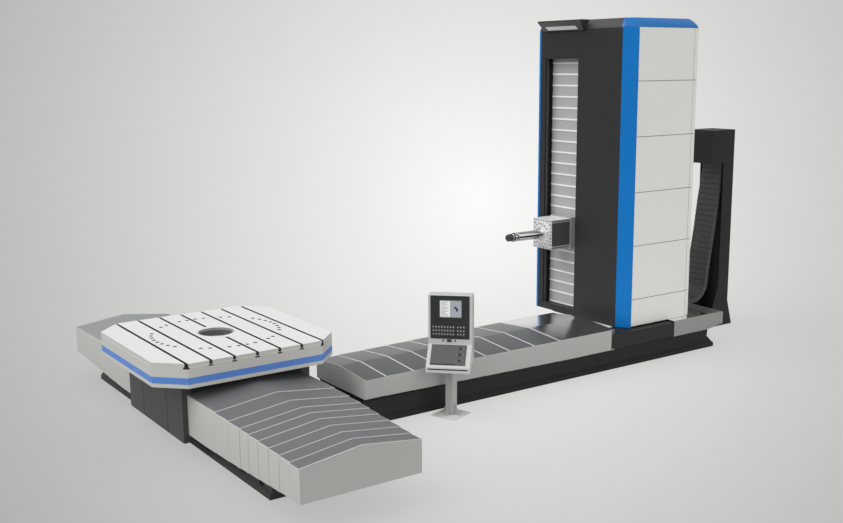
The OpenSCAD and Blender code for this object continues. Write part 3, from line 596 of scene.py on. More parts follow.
# A finish's maker, its colour, and the maker's other values in their order. A colour is one of
# the user's by name, alone or with a factor, or three sRGB steps from 0 to 255.
FINISHES = {
    "casting": (cast_paint, "casting"),
    "foot": (cast_paint, ("casting", 2.6), 0.6),
    "panel": (enamel, "panel"),
    "accent": (enamel, "accent", 0.3, 0.04, 0.4),
    "band": (enamel, "band", 0.4, 0.03, 0.4),
    "charcoal": (enamel, "charcoal", 0.45, 0.05, 0.5),
    # The crown's front takes the charcoal lightened, as painted light.
    "brow": (enamel, ("charcoal", 2.6), 0.4, 0.05, 0.8),
    # The crown takes the accent blue darkened, as painted shade.
    "crown": (enamel, ("accent", 0.86), 0.24, 0.04, 1.2),
    "apron": (brushed, (252, 252, 251), ALONG_X, 0.0, 0.6, 0.02),
    # The window's return walls take the charcoal darkened, as painted shade.
    "recess": (enamel, ("charcoal", 0.3), 0.6, 0.05, 0.3),
    "seal": (moulded, (72, 68, 62), 0.6),
    "joint": (moulded, ("charcoal", 0.6), 0.7),
    # The mast, its hood, bracket and lid take the charcoal darkened, as painted shade.
    "mast": (enamel, ("charcoal", 0.85), 0.5, 0.08, 0.4),
    "skirt": (enamel, "skirt", 0.45, 0.05, 0.5),
    "cover_wall": (enamel, "sheet", 0.4, 0.02, 0.6),
    # The column covers' end plate takes the wall sheet lightened, as painted light.
    "cover_end": (enamel, ("sheet", 1.9), 0.4, 0.02, 0.6),
    # The column covers' rear walls take the wall sheet darkened, as painted shade.
    "cover_wall_rear": (enamel, ("sheet", 0.7), 0.4, 0.03, 0.5),
    # The table covers' side walls take the wall sheet lightened, as painted light.
    "table_wall": (enamel, ("sheet", 1.18), 0.4, 0.02, 0.6),
    # The table covers' far roofs and strips take the roof lightened, as painted light.
    "cover_roof_far": (brushed, ("roof", 2.0), ALONG_Y, 0.1, 0.45, 0.03),
    "soft_strip": (brushed, (196, 197, 198), ALONG_Y, 0.1, 0.4, 0.03),
    "cover_roof_x": (brushed, ("roof", 1.28), ALONG_X, 0.6, 0.34, 0.03),
    "cover_roof_y": (brushed, ("roof", 1.12), ALONG_Y, 0.15, 0.55, 0.03),
    "cover_roof_mirror": (brushed, (250, 250, 249), ALONG_X, 1.0, 0.2, 0.02),
    "wiper": (brushed, "wiper", ALONG_X, 0.1, 0.3, 0.03),
    "sheet_inside": (brushed, "dark_steel", ALONG_X, 0.4, 0.5),
    "table_top": (ground_face, "table_top"),
    "table_side": (enamel, "table_side", 0.36),
    # The table's drip strips take the rim's paint lightened, as a painted highlight.
    "table_edge": (enamel, ("table_side", 1.3), 0.3),
    # The table's slots take a dark steel, as painted shade.
    "slot_wall": (brushed, (84, 84, 85), ALONG_X, 0.2, 0.5),
    "bore": (brushed, (176, 177, 178), ALONG_Z, 0.2, 0.4),
    "bore_floor": (brushed, (150, 151, 152), EVERY_WAY, 0.2, 0.45),
    # A dark ring on the bore's wall, as painted shade.
    "bore_liner": (brushed, (112, 112, 113), ALONG_Z, 0.2, 0.4),
    "plug": (moulded, ("charcoal", 0.8)),
    "slat": (enamel, "slat", 0.4, 0.015, 0.7),
    # The slats' rolled edges are near-white, as a painted highlight.
    "slat_lip": (brushed, (255, 255, 254), ALONG_X, 0.0, 0.25, 0.01),
    "steel": (brushed, "steel", ALONG_Y, 0.3, 0.34, 0.03),
    "steel_up": (brushed, "steel", ALONG_Z, 0.6, 0.32),
    "steel_face": (brushed, "steel", EVERY_WAY, 0.3, 0.36, 0.03),
    "ram_face": (brushed, (228, 229, 228), (0.3, 1, 1), 0.1, 0.4, 0.03),
    # The ram's top faces take a near-white steel, as painted light.
    "ram_top": (brushed, (252, 252, 251), ALONG_Y, 0.0, 0.3, 0.02),
    # The ram's recessed sides take a dark steel, as painted shade.
    "ram_recess": (brushed, ("dark_steel", 1.4), ALONG_Y, 0.1, 0.5, 0.05),
    "collar": (brushed, (190, 191, 190), ALONG_Z, 0.2, 0.45),
    # Dark slots and vents; on the spindle's keyways it is painted shade.
    "groove": (moulded, (22, 22, 23), 0.6),
    "dark_steel": (brushed, "dark_steel", ALONG_Y, 0.5, 0.4),
    "holder": (brushed, (84, 84, 85), TURNED, 0.5, 0.36),
    "screw": (brushed, ("dark_steel", 1.4), EVERY_WAY, 0.8, 0.35),
    "mirror": (brushed, (225, 226, 226), TURNED, 0.9, 0.2, 0.02),
    "chain": (moulded, "chain"),
    # The flange's near-white steel is partly its own polish and partly a painted highlight.
    "flange": (brushed, (246, 246, 245), EVERY_WAY, 0.3, 0.25, 0.03),
    "rubber": (moulded, ("chain", 0.3), 0.6),
    # The work light's housing takes the charcoal lightened, as painted light.
    "lamp_housing": (enamel, ("charcoal", 1.6), 0.4, 0.05, 0.8),
    "lamp_lens": (glowing, ("table_top", 0.6), 0.2),
    "console": (enamel, "console"),
    "post": (enamel, ("console", 0.72), 0.4),
    "console_face": (moulded, "console_face", 0.4),
    "desk": (enamel, "desk", 0.45, 0.02, 0.5),
    "key": (moulded, ("console", 0.8), 0.4),
    "key_dark": (moulded, ("console_face", 2.2), 0.4),
    "knob": (moulded, ("charcoal", 0.7), 0.35),
    "field_frame": (moulded, (150, 152, 153), 0.3),
    "field_light": (glowing, (222, 225, 224), 0.3),
    "field_mark": (glowing, (160, 164, 168), 0.1),
    "field_grey": (glowing, (160, 163, 167), 0.3),
    "field_dark": (glowing, (60, 70, 120), 0.1),
    "drive": (cast_paint, (96, 98, 100), 0.45),
}


def mixed(colour):
    """Linear colour from the way in which FINISHES gives it."""
    if len(colour) == 3 and not isinstance(colour, str):
        return linear(*colour)
    name, factor = (colour, 1.0) if isinstance(colour, str) else colour
    return shade(getattr(colours(), name), factor)


def coat(names):
    """Finishes from their names in one string, each made when it is first asked for."""
    for name in names.split():
        if name not in bpy.data.materials:
            maker, colour, *values = FINISHES[name]
            maker(name, mixed(colour), *values)
    return [bpy.data.materials[name] for name in names.split()]


# ---- Stage ----

# The camera's place, its angles, and its lens and sensor in millimetres.
EYE = Vector((12.873, -10.127, 4.857))
EYE_AZIMUTH, EYE_PITCH, EYE_ROLL = (math.radians(a) for a in (55.282, 10.534, -0.398))
LENS, SENSOR = 45.26, 36.0
# The pool of light lies along a fixed line, given by shares of right and up beside the eye's own
# axis. It darkens with each radian from there, down to a lowest level, as seen through a gamma.
POOL_RIGHT, POOL_UP = 0.055, 0.058
POOL_FALL, POOL_LOWEST, GAMMA = 0.58, 0.67, 2.2
SKY = (0.62, 0.62, 0.625)
FLOOR_RADIUS, FLOOR_SIDES, FLOOR_DOWN = 600, 64, 0.001
# The share of the floor that shows its plain colour, where the rest takes light and shadow.
PLAIN_FLOOR = 0.75


def camera_axes():
    """Right, up and back of the camera from its azimuth, pitch and roll."""
    back = Vector((
        math.sin(EYE_AZIMUTH) * math.cos(EYE_PITCH),
        -math.cos(EYE_AZIMUTH) * math.cos(EYE_PITCH),
        math.sin(EYE_PITCH),
    ))
    level = Vector((math.cos(EYE_AZIMUTH), math.sin(EYE_AZIMUTH), 0))
    up = back.cross(level)
    c, s = math.cos(EYE_ROLL), math.sin(EYE_ROLL)
    return level * c + up * s, up * c - level * s, back


def pool_of_light(f, ray, colour):
    """Backdrop colour along a ray from the corner of the hall: it darkens evenly with the angle
    from a fixed line."""
    right, up, back = camera_axes()
    line = (right * POOL_RIGHT + up * POOL_UP - back).normalized()
    ray = f.node("ShaderNodeVectorMath", {"operation": "NORMALIZE"}, {0: ray})
    along = f.node("ShaderNodeVectorMath", {"operation": "DOT_PRODUCT"}, {0: ray, 1: line}, "Value")
    angle = f.node("ShaderNodeMath", {"operation": "ARCCOSINE"}, {0: along})
    level = (1.0 - angle * POOL_FALL).highest(POOL_LOWEST) ** GAMMA
    return f.blended(level, (0, 0, 0), colour)


def sun(name, direction, energy, angle):
    """A soft sun that shines from a direction."""
    light = bpy.data.lights.new(name, "SUN")
    light.energy = energy
    light.angle = math.radians(angle)
    turn = Vector(direction).to_track_quat("Z", "Y")
    added(name, light).rotation_euler = turn.to_euler()


class MACHINE_OT_stage(bpy.types.Operator):
    """Camera, soft lights, pale floor and background"""

    bl_idname = "machine.stage"
    bl_label = "Stage"

    def execute(self, context):
        scene = context.scene
        camera = added("Camera", bpy.data.cameras.new("Camera"))
        camera.data.lens, camera.data.sensor_width = LENS, SENSOR
        camera.data.clip_start, camera.data.clip_end = 0.1, 2000
        right, up, back = camera_axes()
        camera.matrix_world = Matrix((
            (right.x, up.x, back.x, EYE.x), (right.y, up.y, back.y, EYE.y),
            (right.z, up.z, back.z, EYE.z), (0, 0, 0, 1),
        ))
        scene.camera = camera
        scene.view_settings.view_transform = "Standard"

        world = scene.world or bpy.data.worlds.new("World")
        scene.world = world
        f = Finish(world)
        seen = f.node("ShaderNodeLightPath", out="Is Camera Ray")
        for path in ("Is Glossy Ray", "Is Transmission Ray"):
            seen = seen.highest(f.node("ShaderNodeLightPath", out=path))
        direction = f.node("ShaderNodeTexCoord", out="Generated")
        sky = f.blended(seen, SKY, pool_of_light(f, direction, colours().backdrop))
        shader = f.node("ShaderNodeBackground", None, {"Color": sky})
        f.node("ShaderNodeOutputWorld", None, {"Surface": shader})
        sun("Key", (-0.12, -0.66, 0.74), 1.4, 60)
        sun("Fill", (0.85, 0.15, 0.5), 0.45, 60)

        f = new_finish("floor")
        place = f.node("ShaderNodeNewGeometry", out="Position")
        ray = f.node("ShaderNodeVectorMath", {"operation": "SUBTRACT"}, {0: place, 1: EYE})
        pool = pool_of_light(f, ray, colours().backdrop)
        matt = f.node("ShaderNodeBsdfDiffuse", None, {"Color": pool})
        lit = f.node("ShaderNodeEmission", None, {"Color": pool})
        share = f.node("ShaderNodeLightPath", out="Is Camera Ray") * PLAIN_FLOOR
        shader = f.node("ShaderNodeMixShader", None, {0: share, 1: matt, 2: lit})
        f.node("ShaderNodeOutputMaterial", None, {"Surface": shader})
        disc = ring_of_places(FLOOR_RADIUS, FLOOR_SIDES) - [0, 0, FLOOR_DOWN]
        mesh = bpy.data.meshes.new("floor")
        mesh.from_pydata(disc.tolist(), [], [list(range(FLOOR_SIDES))])
        mesh.materials.append(bpy.data.materials["floor"])
        added("floor", mesh)
        return {"FINISHED"}


# ---- Beds ----

# Places of the foot pockets along both beds, their size, and where the bolts stand beside the
# table bed's middle. None stands where the beds join. The lids' thickness, and how far from the
# column bed's middle they lie.
POCKETS_X = (0.284, 0.789, 1.304, 1.561, 1.814, 2.295)
POCKETS_Y = (2.1, 2.9, 3.7, 4.5, 5.3, 6.1, 6.9, 7.7, 8.4)
POCKET_W, POCKET_H, POCKET_Z = 0.11, 0.215, 0.085
BOLT_Y, JOIN_HALF = 0.49, 0.505
LID_T, LID_X = 0.006, 0.5245


def anchor_bolt():
    """Stud, hexagon nut and washer, standing on a pocket's floor."""
    washer = lathe([(0.0, 0), (0.028, 0), (0.028, 0.004), (0.027, 0.005), (0.0, 0.005)], 16)
    nut = lathe([
        (0.0, 0.005), (0.019, 0.005), (0.0208, 0.007), (0.0208, 0.025), (0.019, 0.027),
        (0.0, 0.027),
    ], 6)
    stud = lathe([(0.0, 0.02), (0.012, 0.02), (0.012, 0.058), (0.010, 0.061), (0.0, 0.061)], 12)
    return washer + nut + stud


class MACHINE_OT_beds(bpy.types.Operator):
    """Beds with their anchor bolts, pocket lids, ways and feed screws"""

    bl_idname = "machine.beds"
    bl_label = "Beds"

    def execute(self, context):
        refined("table_bed", "cast_black", "foot", sizes().edge)
        refined("column_bed", "cast_black", "casting", sizes().edge)
        coated("guide_rails", "steel")
        coated("feed_screws", "screw")
        y0, x0 = middle_of("rotary_table")[1], middle_of("column_bed")[0]
        across = [side * x for x in POCKETS_X for side in (-1, 1)]
        places = [(x, y0 - BOLT_Y, POCKET_Z) for x in across]
        places += [(x, y0 + BOLT_Y, POCKET_Z) for x in across if abs(x - x0) > JOIN_HALF]
        piece("anchor_bolts", anchor_bolt().copies(places), "base", "screw_steel", "dark_steel")

        lid = pad(POCKET_W - 0.002, POCKET_H - 0.002, LID_T, 0.004, 0.0015)
        lid = lid + cap_screw(0.007, 0.003).copies([(0, z, LID_T) for z in (-0.09, 0.09)])
        lid.points = on_axis(lid.points, "X")
        middles = [(0, y0 + y, POCKET_Z + POCKET_H / 2) for y in POCKETS_Y]
        right = lid.copies(middles).at(x0 + LID_X, 0, 0)
        left = lid.turned("Z", 180).copies(middles).at(x0 - LID_X, 0, 0)
        piece("pocket_lids", right + left, "base", "cast_black", "casting")
        return {"FINISHED"}


# ---- Telescopic covers ----

# The end plate's thickness, the width of the folds along the lower edges, and the length over
# which a box's walls lean in.
PLATE, FOLD, TAPER = 0.016, 0.022, 0.3
# Gaps that a lip's outside and its inside leave over the next smaller box, how far the outside
# stays above that box's roof, how far the inner sheet is drawn up, and how long a lip's roll is.
OUT_GAP, IN_GAP, ROOF_GAP, DRAWN_UP, LIP_ROLL = 0.0006, 0.0003, 0.0018, 0.0015, 0.003


def cover_path(w, eave, ridge, low, radius):
    """Outline of a gabled sheet from one lower fold over the roof to the other."""
    turn_in = max(w - FOLD, 0)
    path = [
        (-turn_in, low), (-w, low), (-w, eave), (0, ridge), (w, eave), (w, low), (turn_in, low),
    ]
    return eased(path, min(radius, FOLD * 0.45))


def walled(rows, roof_half):
    """A shell between an outer and an inner path at each place, closed along both rims.
    Finishes: 0 walls, 1 roof, 2 strip across the roof, 3 inside."""
    count = len(rows[0][1])
    loops = [lifted(np.vstack([outer, inner[::-1]]), place) for place, outer, inner, _ in rows]
    shape = surface(loops, caps=False)
    across = rows[0][1][:, 0]
    is_roof = np.abs((across[1:] + across[:-1]) / 2) < roof_half
    shape.finish = []
    for *_, strip in rows[:-1]:
        shape.finish += [*np.where(is_roof, 1 + strip, 0).tolist(), *[3] * (count + 1)]
    last = (len(rows) - 1) * 2 * count
    for start, strip in ((0, False), (last, rows[-1][3])):
        for i in range(count - 1):
            far = 2 * count - 1 - i
            shape.faces.append((start + i, start + i + 1, start + far - 1, start + far))
            shape.finish.append((2 if is_roof[i] else 0) if strip else 3)
    return shape


def end_box(w, eave, ridge, low, inner, outer):
    """The smallest box: its sheet, and the thick plate that closes its outer end."""
    path = cover_path(w, eave, ridge, low, sizes().bend)
    thin = drawn_in(path, sizes().sheet)
    sheet_end = outer - PLATE
    shape = walled([(inner, path, thin, 0), (sheet_end, path, thin, 0)], w - 0.004)
    ring = eased([(-w, low), (-w, eave), (0, ridge), (w, eave), (w, low)], 0.009)
    face = drawn_in(ring, 0.003)
    face[0], face[-1] = (-w + 0.003, low), (w - 0.003, low)
    plate = surface([lifted(ring, sheet_end), lifted(ring, outer - 0.003), lifted(face, outer)])
    plate.finish[-1] = 4
    return shape + plate


def cover_box(points, steps, strip):
    """A box's half as a shape along +Z, from the half's own points: across, height, along.
    Steps are how much the next smaller box is smaller at its sides and its top. The walls lean in
    to meet it, and a polished strip runs across the roof's end."""
    across, height, along = points.T
    w, low, ridge = np.abs(across).max(), height.min(), height.max()
    eave = height[np.abs(across) > w - 1e-4].max()
    inner = along[np.abs(across) > w - 1e-4].min()
    outer, bend, sheet = along.max(), sizes().bend, sizes().sheet
    if steps is None:
        return end_box(w, eave, ridge, low, inner, outer)
    side, top = steps

    def ring(wall_in, roof_in, up=0.0):
        return cover_path(w - wall_in, eave - roof_in, ridge - roof_in, low + up, bend)

    taper = min(TAPER, (outer - inner) * 0.8)

    def lean(place):
        return max(0.0, (place - outer + taper) / taper) * (side - OUT_GAP)

    flat, roll = outer - strip, outer - LIP_ROLL
    path = ring(0, 0)
    lip = ring(side - IN_GAP, top - IN_GAP, DRAWN_UP)
    rows = [(inner, path, drawn_in(path, sheet), 0)]
    for place in (outer - taper, flat):
        thin = ring(min(lean(place) + sheet, side - IN_GAP), min(sheet, top - IN_GAP), DRAWN_UP)
        rows.append((place, ring(lean(place), 0), thin, int(place == flat)))
    rows.append((roll, ring(lean(roll), min(0.0025, top * 0.3)), lip, 1))
    rows.append((outer, ring(side - OUT_GAP, top - ROOF_GAP), lip, 1))
    roof_half = w - 0.012
    shape = walled(rows, roof_half)
    run_on = along.min()
    if run_on < inner - 0.01:
        keep = np.abs(path[:, 0]) < w - 1e-3
        thin = drawn_in(path, sheet)
        roof = [(place, path[keep], thin[keep], 0) for place in (run_on, inner)]
        shape = shape + walled(roof, roof_half)
    return shape


class MACHINE_OT_covers(bpy.types.Operator):
    """Telescopic covers of both beds, each box with its folded sheet, leaning lip and strip"""

    bl_idname = "machine.covers"
    bl_label = "Covers"

    def execute(self, context):
        narrow, wide = sizes().roll, sizes().wiper
        table_y, bed_x = middle_of("rotary_table")[1], middle_of("column_bed")[0]
        saddle_y = middle_of("column_saddle")[1]
        for k in range(1, 10):
            # The walls are the sheet lightened, and the far half's roofs and strips are the roof
            # lightened, both as painted light.
            self.cover(
                f"table_cover_{k}", 0, (0.0, table_y), (0.007, 0.01), (narrow, narrow),
                "table_wall cover_roof_y soft_strip sheet_inside cover_wall cover_roof_far",
                -1, (1, 2),
            )
            roof = "cover_roof_mirror" if k == 9 else "cover_roof_x"
            # The end plate is the sheet lightened, as painted light, and the rear half's walls are
            # the sheet darkened, as painted shade.
            self.cover(
                f"column_cover_{k}", 1, (bed_x, saddle_y), (0.009, 0.004), (wide, narrow),
                f"cover_wall {roof} wiper sheet_inside cover_end cover_wall_rear", 1, (0, 4),
            )
        return {"FINISHED"}

    @staticmethod
    def cover(node, axis, centre, steps, strips, finishes, far_side, far_faces):
        """Both halves of a box that slides along an axis, 0 or 1. Finishes: wall, roof, strip,
        inside, end plate, and one that faces on the far side take in place of theirs, a copy of
        another lightened as painted light on the table covers and darkened as painted shade on the
        column covers."""
        points, across = points_of(node), 1 - axis
        halves = []
        for side, strip in zip((-1, 1), strips):
            near = points - [*centre, 0]
            near = near[near[:, axis] * side > 0][:, [across, 2, axis]] * [1, 1, side]
            half = cover_box(near, None if node.endswith("_1") else steps, strip)
            if side == far_side:
                half.finish = [5 if n in far_faces else n for n in half.finish]
            placed = half.points[:, [[2, 0, 1], [0, 2, 1]][axis]]
            placed[:, axis] *= side
            half.points = placed + [*centre, 0]
            halves.append(half)
        piece(node + "_sheet", total(halves), body_of(node), "cover_sheet", finishes, (node,))


# ---- Table ----

# The cut across the table's corners, the pitch of its slots, the plugs' circle, their number and
# how near to a slot's middle one stands, and the bore's radius with the heights under the top of
# the ring of painted shade on its wall and of its floor.
CORNER_CUT, SLOT_PITCH = 0.33, 0.31
PLUG_CIRCLE, PLUG_COUNT, PLUG_CLEAR = 0.84, 44, 0.055
BORE_R, BORE_SHADE_TOP, BORE_SHADE_LOW, FLOOR_Z = 0.2285, -0.031, -0.104, -0.11


class MACHINE_OT_table(bpy.types.Operator):
    """Saddle, bearing, and the rotary table with its band, slots and plugs"""

    bl_idname = "machine.table"
    bl_label = "Table"

    def execute(self, context):
        low, high = corners("rotary_table")
        half, top = (high[0] - low[0]) / 2, high[2]
        y0 = (low[1] + high[1]) / 2

        def by_place(centres, normals):
            x, y = np.abs(centres[:, 0]), np.abs(centres[:, 1] - y0)
            rim = (np.maximum(x, y) > half - 0.03) | (x + y > 2 * half - CORNER_CUT - 0.04)
            face = (normals[:, 2] > 0.9) & (centres[:, 2] > top - 0.002)
            under = (normals[:, 2] < -0.9) & (centres[:, 2] < top - 0.15)
            bore = (np.hypot(x, y) < 0.24) & ~face
            # Everything else, the slots' walls and floors, takes finish 2, a dark steel as painted
            # shade.
            return np.select([face, bore, rim | under], [1, 3, 0], 2)

        refined(
            "rotary_table", "table_paint", "table_side table_top slot_wall bore", 0.003,
            choose=by_place,
        )
        refined("table_band", "blue_paint", "band", 0.002)
        refined("table_saddle", "cast_black", "casting", sizes().edge)
        refined("saddle_skirts", "charcoal_paint", "skirt", 0.006)
        coated("table_bearing", "steel_face")
        coated("table_drive", "drive")
        self.plugs(y0, top)
        self.bore(y0, top)
        self.trims(half, y0, top)
        return {"FINISHED"}

    @staticmethod
    def plugs(y0, top):
        """A ring of plugs in the clamping face, left out where it crosses a slot."""
        places = ring_of_places(PLUG_CIRCLE, PLUG_COUNT, np.pi / PLUG_COUNT)
        from_slot = places[:, 1] - np.round(places[:, 1] / SLOT_PITCH) * SLOT_PITCH
        places = places[np.abs(from_slot) > PLUG_CLEAR] + [0, y0, top]
        plug = lathe([
            (0.0, -0.003), (0.027, -0.003), (0.027, 0.0004), (0.024, 0.0008), (0.0, 0.0008),
        ], 20)
        piece("table_plugs", plug.copies(places), "turntable", "charcoal_paint", "plug")

    @staticmethod
    def bore(y0, top):
        """The bore's collar, a dark ring of painted shade on its wall under the collar, and its
        floor with a hub and a ring of screws.
        """
        collar = hoop([
            (BORE_R, -0.004), (BORE_R, 0.0006), (0.246, 0.0006), (0.248, -0.001), (0.248, -0.004),
        ], 96)
        piece("bore_collar", collar.at(0, y0, top), "turntable", "table_paint", "steel_face")
        # A thin dark ring on the bore's wall under the collar, as painted shade.
        outer, inner = BORE_R - 0.0001, BORE_R - 0.001
        shade_ring = hoop([
            (outer, BORE_SHADE_LOW), (outer, BORE_SHADE_TOP), (inner, BORE_SHADE_TOP), (inner, BORE_SHADE_LOW),
        ], 96)
        piece("bore_liner", shade_ring.at(0, y0, top), "turntable", "screw_steel", "bore_liner")
        disc = lathe([
            (0.0, 0), (0.2, 0), (0.214, 0.006), (0.226, 0.006), (0.226, -0.01), (0.0, -0.01),
        ], 96)
        hub = lathe([
            (0.0, 0), (0.05, 0), (0.05, 0.02), (0.044, 0.026), (0.026, 0.026), (0.022, 0.01),
            (0.0, 0.01),
        ], 48)
        cap = disc + hub + cap_screw(0.009, 0.006).copies(ring_of_places(0.17, 12))
        piece("bore_floor", cap.at(0, y0, top + FLOOR_Z), "turntable", "screw_steel", "bore_floor")

    @staticmethod
    def trims(half, y0, top):
        """Drip strips along the lower edge of the table's rim, painted lighter than the rim as a
        painted highlight, and the joints of the skirts.
        """
        bar = swept(rectangle(0.004, 0.006, 0.0015, 1), [0.35 - half, half - 0.35], "Y")
        out = half + 0.001
        strips = bar.copies([(out, 0, 0), (-out, 0, 0)])
        strips += bar.turned("Z", 90).copies([(0, -out, 0), (0, out, 0)])
        strips = strips.at(0, y0, top - 0.05)
        piece("table_drip_strips", strips, "turntable", "table_paint", "table_edge")
        low, high = corners("saddle_skirts")
        joint = swept(rectangle(0.006, 0.004, 0.001, 1), [low[2] + 0.01, high[2] - 0.01], "Z")
        joints = joint.copies([(x, y, 0) for x in (-0.42, 0.42) for y in (low[1], high[1])])
        piece("skirt_joints", joints, "table_carriage", "charcoal_paint", "rubber")


# ---- Column ----


def cap_screw(radius=0.009, height=0.004):
    """Low domed head with a socket, standing on +Z."""
    shares = [
        (0, 0), (1, 0), (1, 0.5), (0.8, 0.9), (0.5, 1), (0.42, 1), (0.4, 0.3), (0, 0.3),
    ]
    return lathe([(radius * a, height * b) for a, b in shares], 12)


# Width of the edge strip down the front's left side.
EDGE_W = 0.04
# Heights of the joints between the side panels, and of the rear doors' lower and upper edges.
SEAMS = (1.1, 1.975, 2.835, 3.715, 4.58)
REAR_DOORS = ((0.8, 2.7), (2.8, 5.25))
# How the crown comes in and how it rises, as shares of its inset and its height.
CROWN_CURVE = (
    (0, 0), (0.02, 0.12), (0.09, 0.26), (0.22, 0.42), (0.4, 0.6), (0.6, 0.77), (0.8, 0.91),
    (0.93, 0.98), (1.0, 1.0),
)


def louvre(width):
    """One blade of a vent on the XZ plane that faces +Y, with its lower edge standing out."""
    profile = [(0, 0), (0.006, 0.002), (0.006, 0.004), (0.001, 0.016), (0, 0.016)]
    return surface([[(x, *point) for point in profile] for x in (-width / 2, width / 2)])


class MACHINE_OT_column(bpy.types.Operator):
    """Housing of the column with its corners, crown, panels and vertical drive"""

    bl_idname = "machine.column"
    bl_label = "Column"

    def execute(self, context):
        face_y = corners("front_cover")[0][1]
        refined("column_saddle", "cast_black", "casting", sizes().edge)

        # The window's return walls behind the front face take finish 1, the charcoal darkened, as
        # painted shade.
        def returns(centres, normals):
            return (centres[:, 1] > face_y + 0.012) & (np.abs(normals[:, 1]) < 0.5)

        refined("front_cover", "charcoal_paint", "charcoal recess", 0.003, choose=returns)
        refined("edge_trim", "blue_paint", "accent", 0.012, 3)
        refined("side_panels", "panel_paint", "panel", 0.0015)
        refined("rear_cover", "panel_paint", "panel", 0.004)
        for node, finish in (
            ("column_frame", "casting"), ("lift_rails", "steel_up"), ("lift_screw", "screw"),
            ("lift_drive", "drive"), ("headstock", "casting"),
        ):
            coated(node, finish)
        self.crown()
        self.panels()
        self.front(face_y)
        self.back()
        return {"FINISHED"}

    @staticmethod
    def crown():
        """Sloping hood: the housing's plan drawn in with height, on a curve that starts upright
        and ends level. Its front between the corners takes the front's charcoal lightened, as
        painted light, and the rest the accent blue darkened, as painted shade."""
        low, high = corners("top_cover")
        points = points_of("top_cover")
        inset = (points[points[:, 2] > high[2] - 1e-4].min(0) - low)[0]
        front_low, front_high = corners("front_cover")
        side_y = corners("side_panels")[0][1]

        def plan(k):
            (x0, y0), (x1, y1) = low[:2] + k, high[:2] - k
            cut = k * math.tan(math.radians(22.5))
            f0, f1 = front_low[0] + cut, front_high[0] - cut
            return eased(np.array([
                (f0 + 0.2, y0), (f1, y0), (x1, side_y + cut), (x1, y1), (x0, y1),
                (x0, side_y + cut), (f0, y0), (f0 + 0.1, y0),
            ]), 0.02)

        rise = high[2] - low[2]
        rows = [lifted(plan(inset * a), low[2] + rise * b) for a, b in CROWN_CURVE]
        shape = surface(rows)
        beside = np.roll(rows[0], -1, 0)
        is_front = (np.abs(beside - rows[0])[:, 1] < 1e-4) & (
            (beside + rows[0])[:, 1] / 2 < low[1] + 0.01
        )
        # The front's faces take finish 1, the charcoal lightened as painted light; the rest take
        # the accent blue darkened, as painted shade.
        shape.finish = is_front.astype(int).tolist() * (len(rows) - 1) + [0, 0]
        piece("crown", shape, "column", "blue_paint", "crown brow", ("top_cover",))

    @staticmethod
    def panels():
        """Joints between the side panels and the screws along their edges."""
        low, high = corners("side_panels")
        level = swept(rectangle(0.002, 0.008, 0.0008, 1), [low[1] + 0.002, high[1] - 0.002], "Y")
        upright = swept(rectangle(0.002, 0.004, 0.0008, 1), [low[2] + 0.01, high[2] - 0.01], "Z")
        joints = total([level.at(0, 0, z) for z in SEAMS] + [upright.at(0, high[1] - 0.06, 0)])
        joints = joints.copies([(high[0], 0, 0), (low[0], 0, 0)])
        piece("panel_joints", joints, "column", "charcoal_paint", "joint")

        levels = [low[2], *SEAMS, high[2]]
        heads = [
            (0, y, z) for z0, z1 in zip(levels[:-1], levels[1:])
            for z in (z0 + 0.05, (z0 + z1) / 2, z1 - 0.05)
            for y in (low[1] + 0.04, high[1] - 0.03)
        ]
        right = cap_screw().turned("Y", 90).copies(heads).at(high[0], 0, 0)
        left = cap_screw().turned("Y", -90).copies(heads).at(low[0], 0, 0)
        piece("panel_screws", right + left, "column", "panel_paint", "panel")

    @staticmethod
    def front(face_y):
        """Blue edge down the front's left side, the window's seal and sill, and a steel apron
        on the saddle under the front."""
        low, high = corners("front_cover")
        strip = pad(EDGE_W, high[2] - low[2], 0.006, 0.004, 0.002, "Y").turned("Z", 180)
        strip = strip.at(low[0] + EDGE_W / 2, face_y, (low[2] + high[2]) / 2)
        piece("left_edge", strip, "column", "blue_paint", "accent")
        window_low, window_high = corners("upper_apron")
        sill = corners("lower_apron")[0][2]
        left, right = window_low[0] - 0.003, window_high[0] + 0.003
        bar = swept(rectangle(0.014, 0.05, 0.004, 2), [sill + 0.004, window_high[2] - 0.004], "Z")
        seals = bar.copies([(x, face_y + 0.04, 0) for x in (left + 0.0073, right - 0.0073)])
        piece("window_seals", seals, "column", "charcoal_paint", "seal")
        ledge = pad(right - left - 0.006, 0.09, 0.006, 0.003, 0.002)
        ledge = ledge.at((left + right) / 2, face_y + 0.055, sill + 0.0003)
        piece("window_sill", ledge, "column", "charcoal_paint", "seal")
        left, right = corners("column_cover_9")[0][0] + 0.01, high[0] - 0.06
        apron = pad(right - left, 0.4, 0.004, 0.01, 0.002)
        apron = apron.at((left + right) / 2, face_y - 0.1, low[2] - 0.0078)
        piece("saddle_apron", apron, "column", "cover_sheet", "apron")

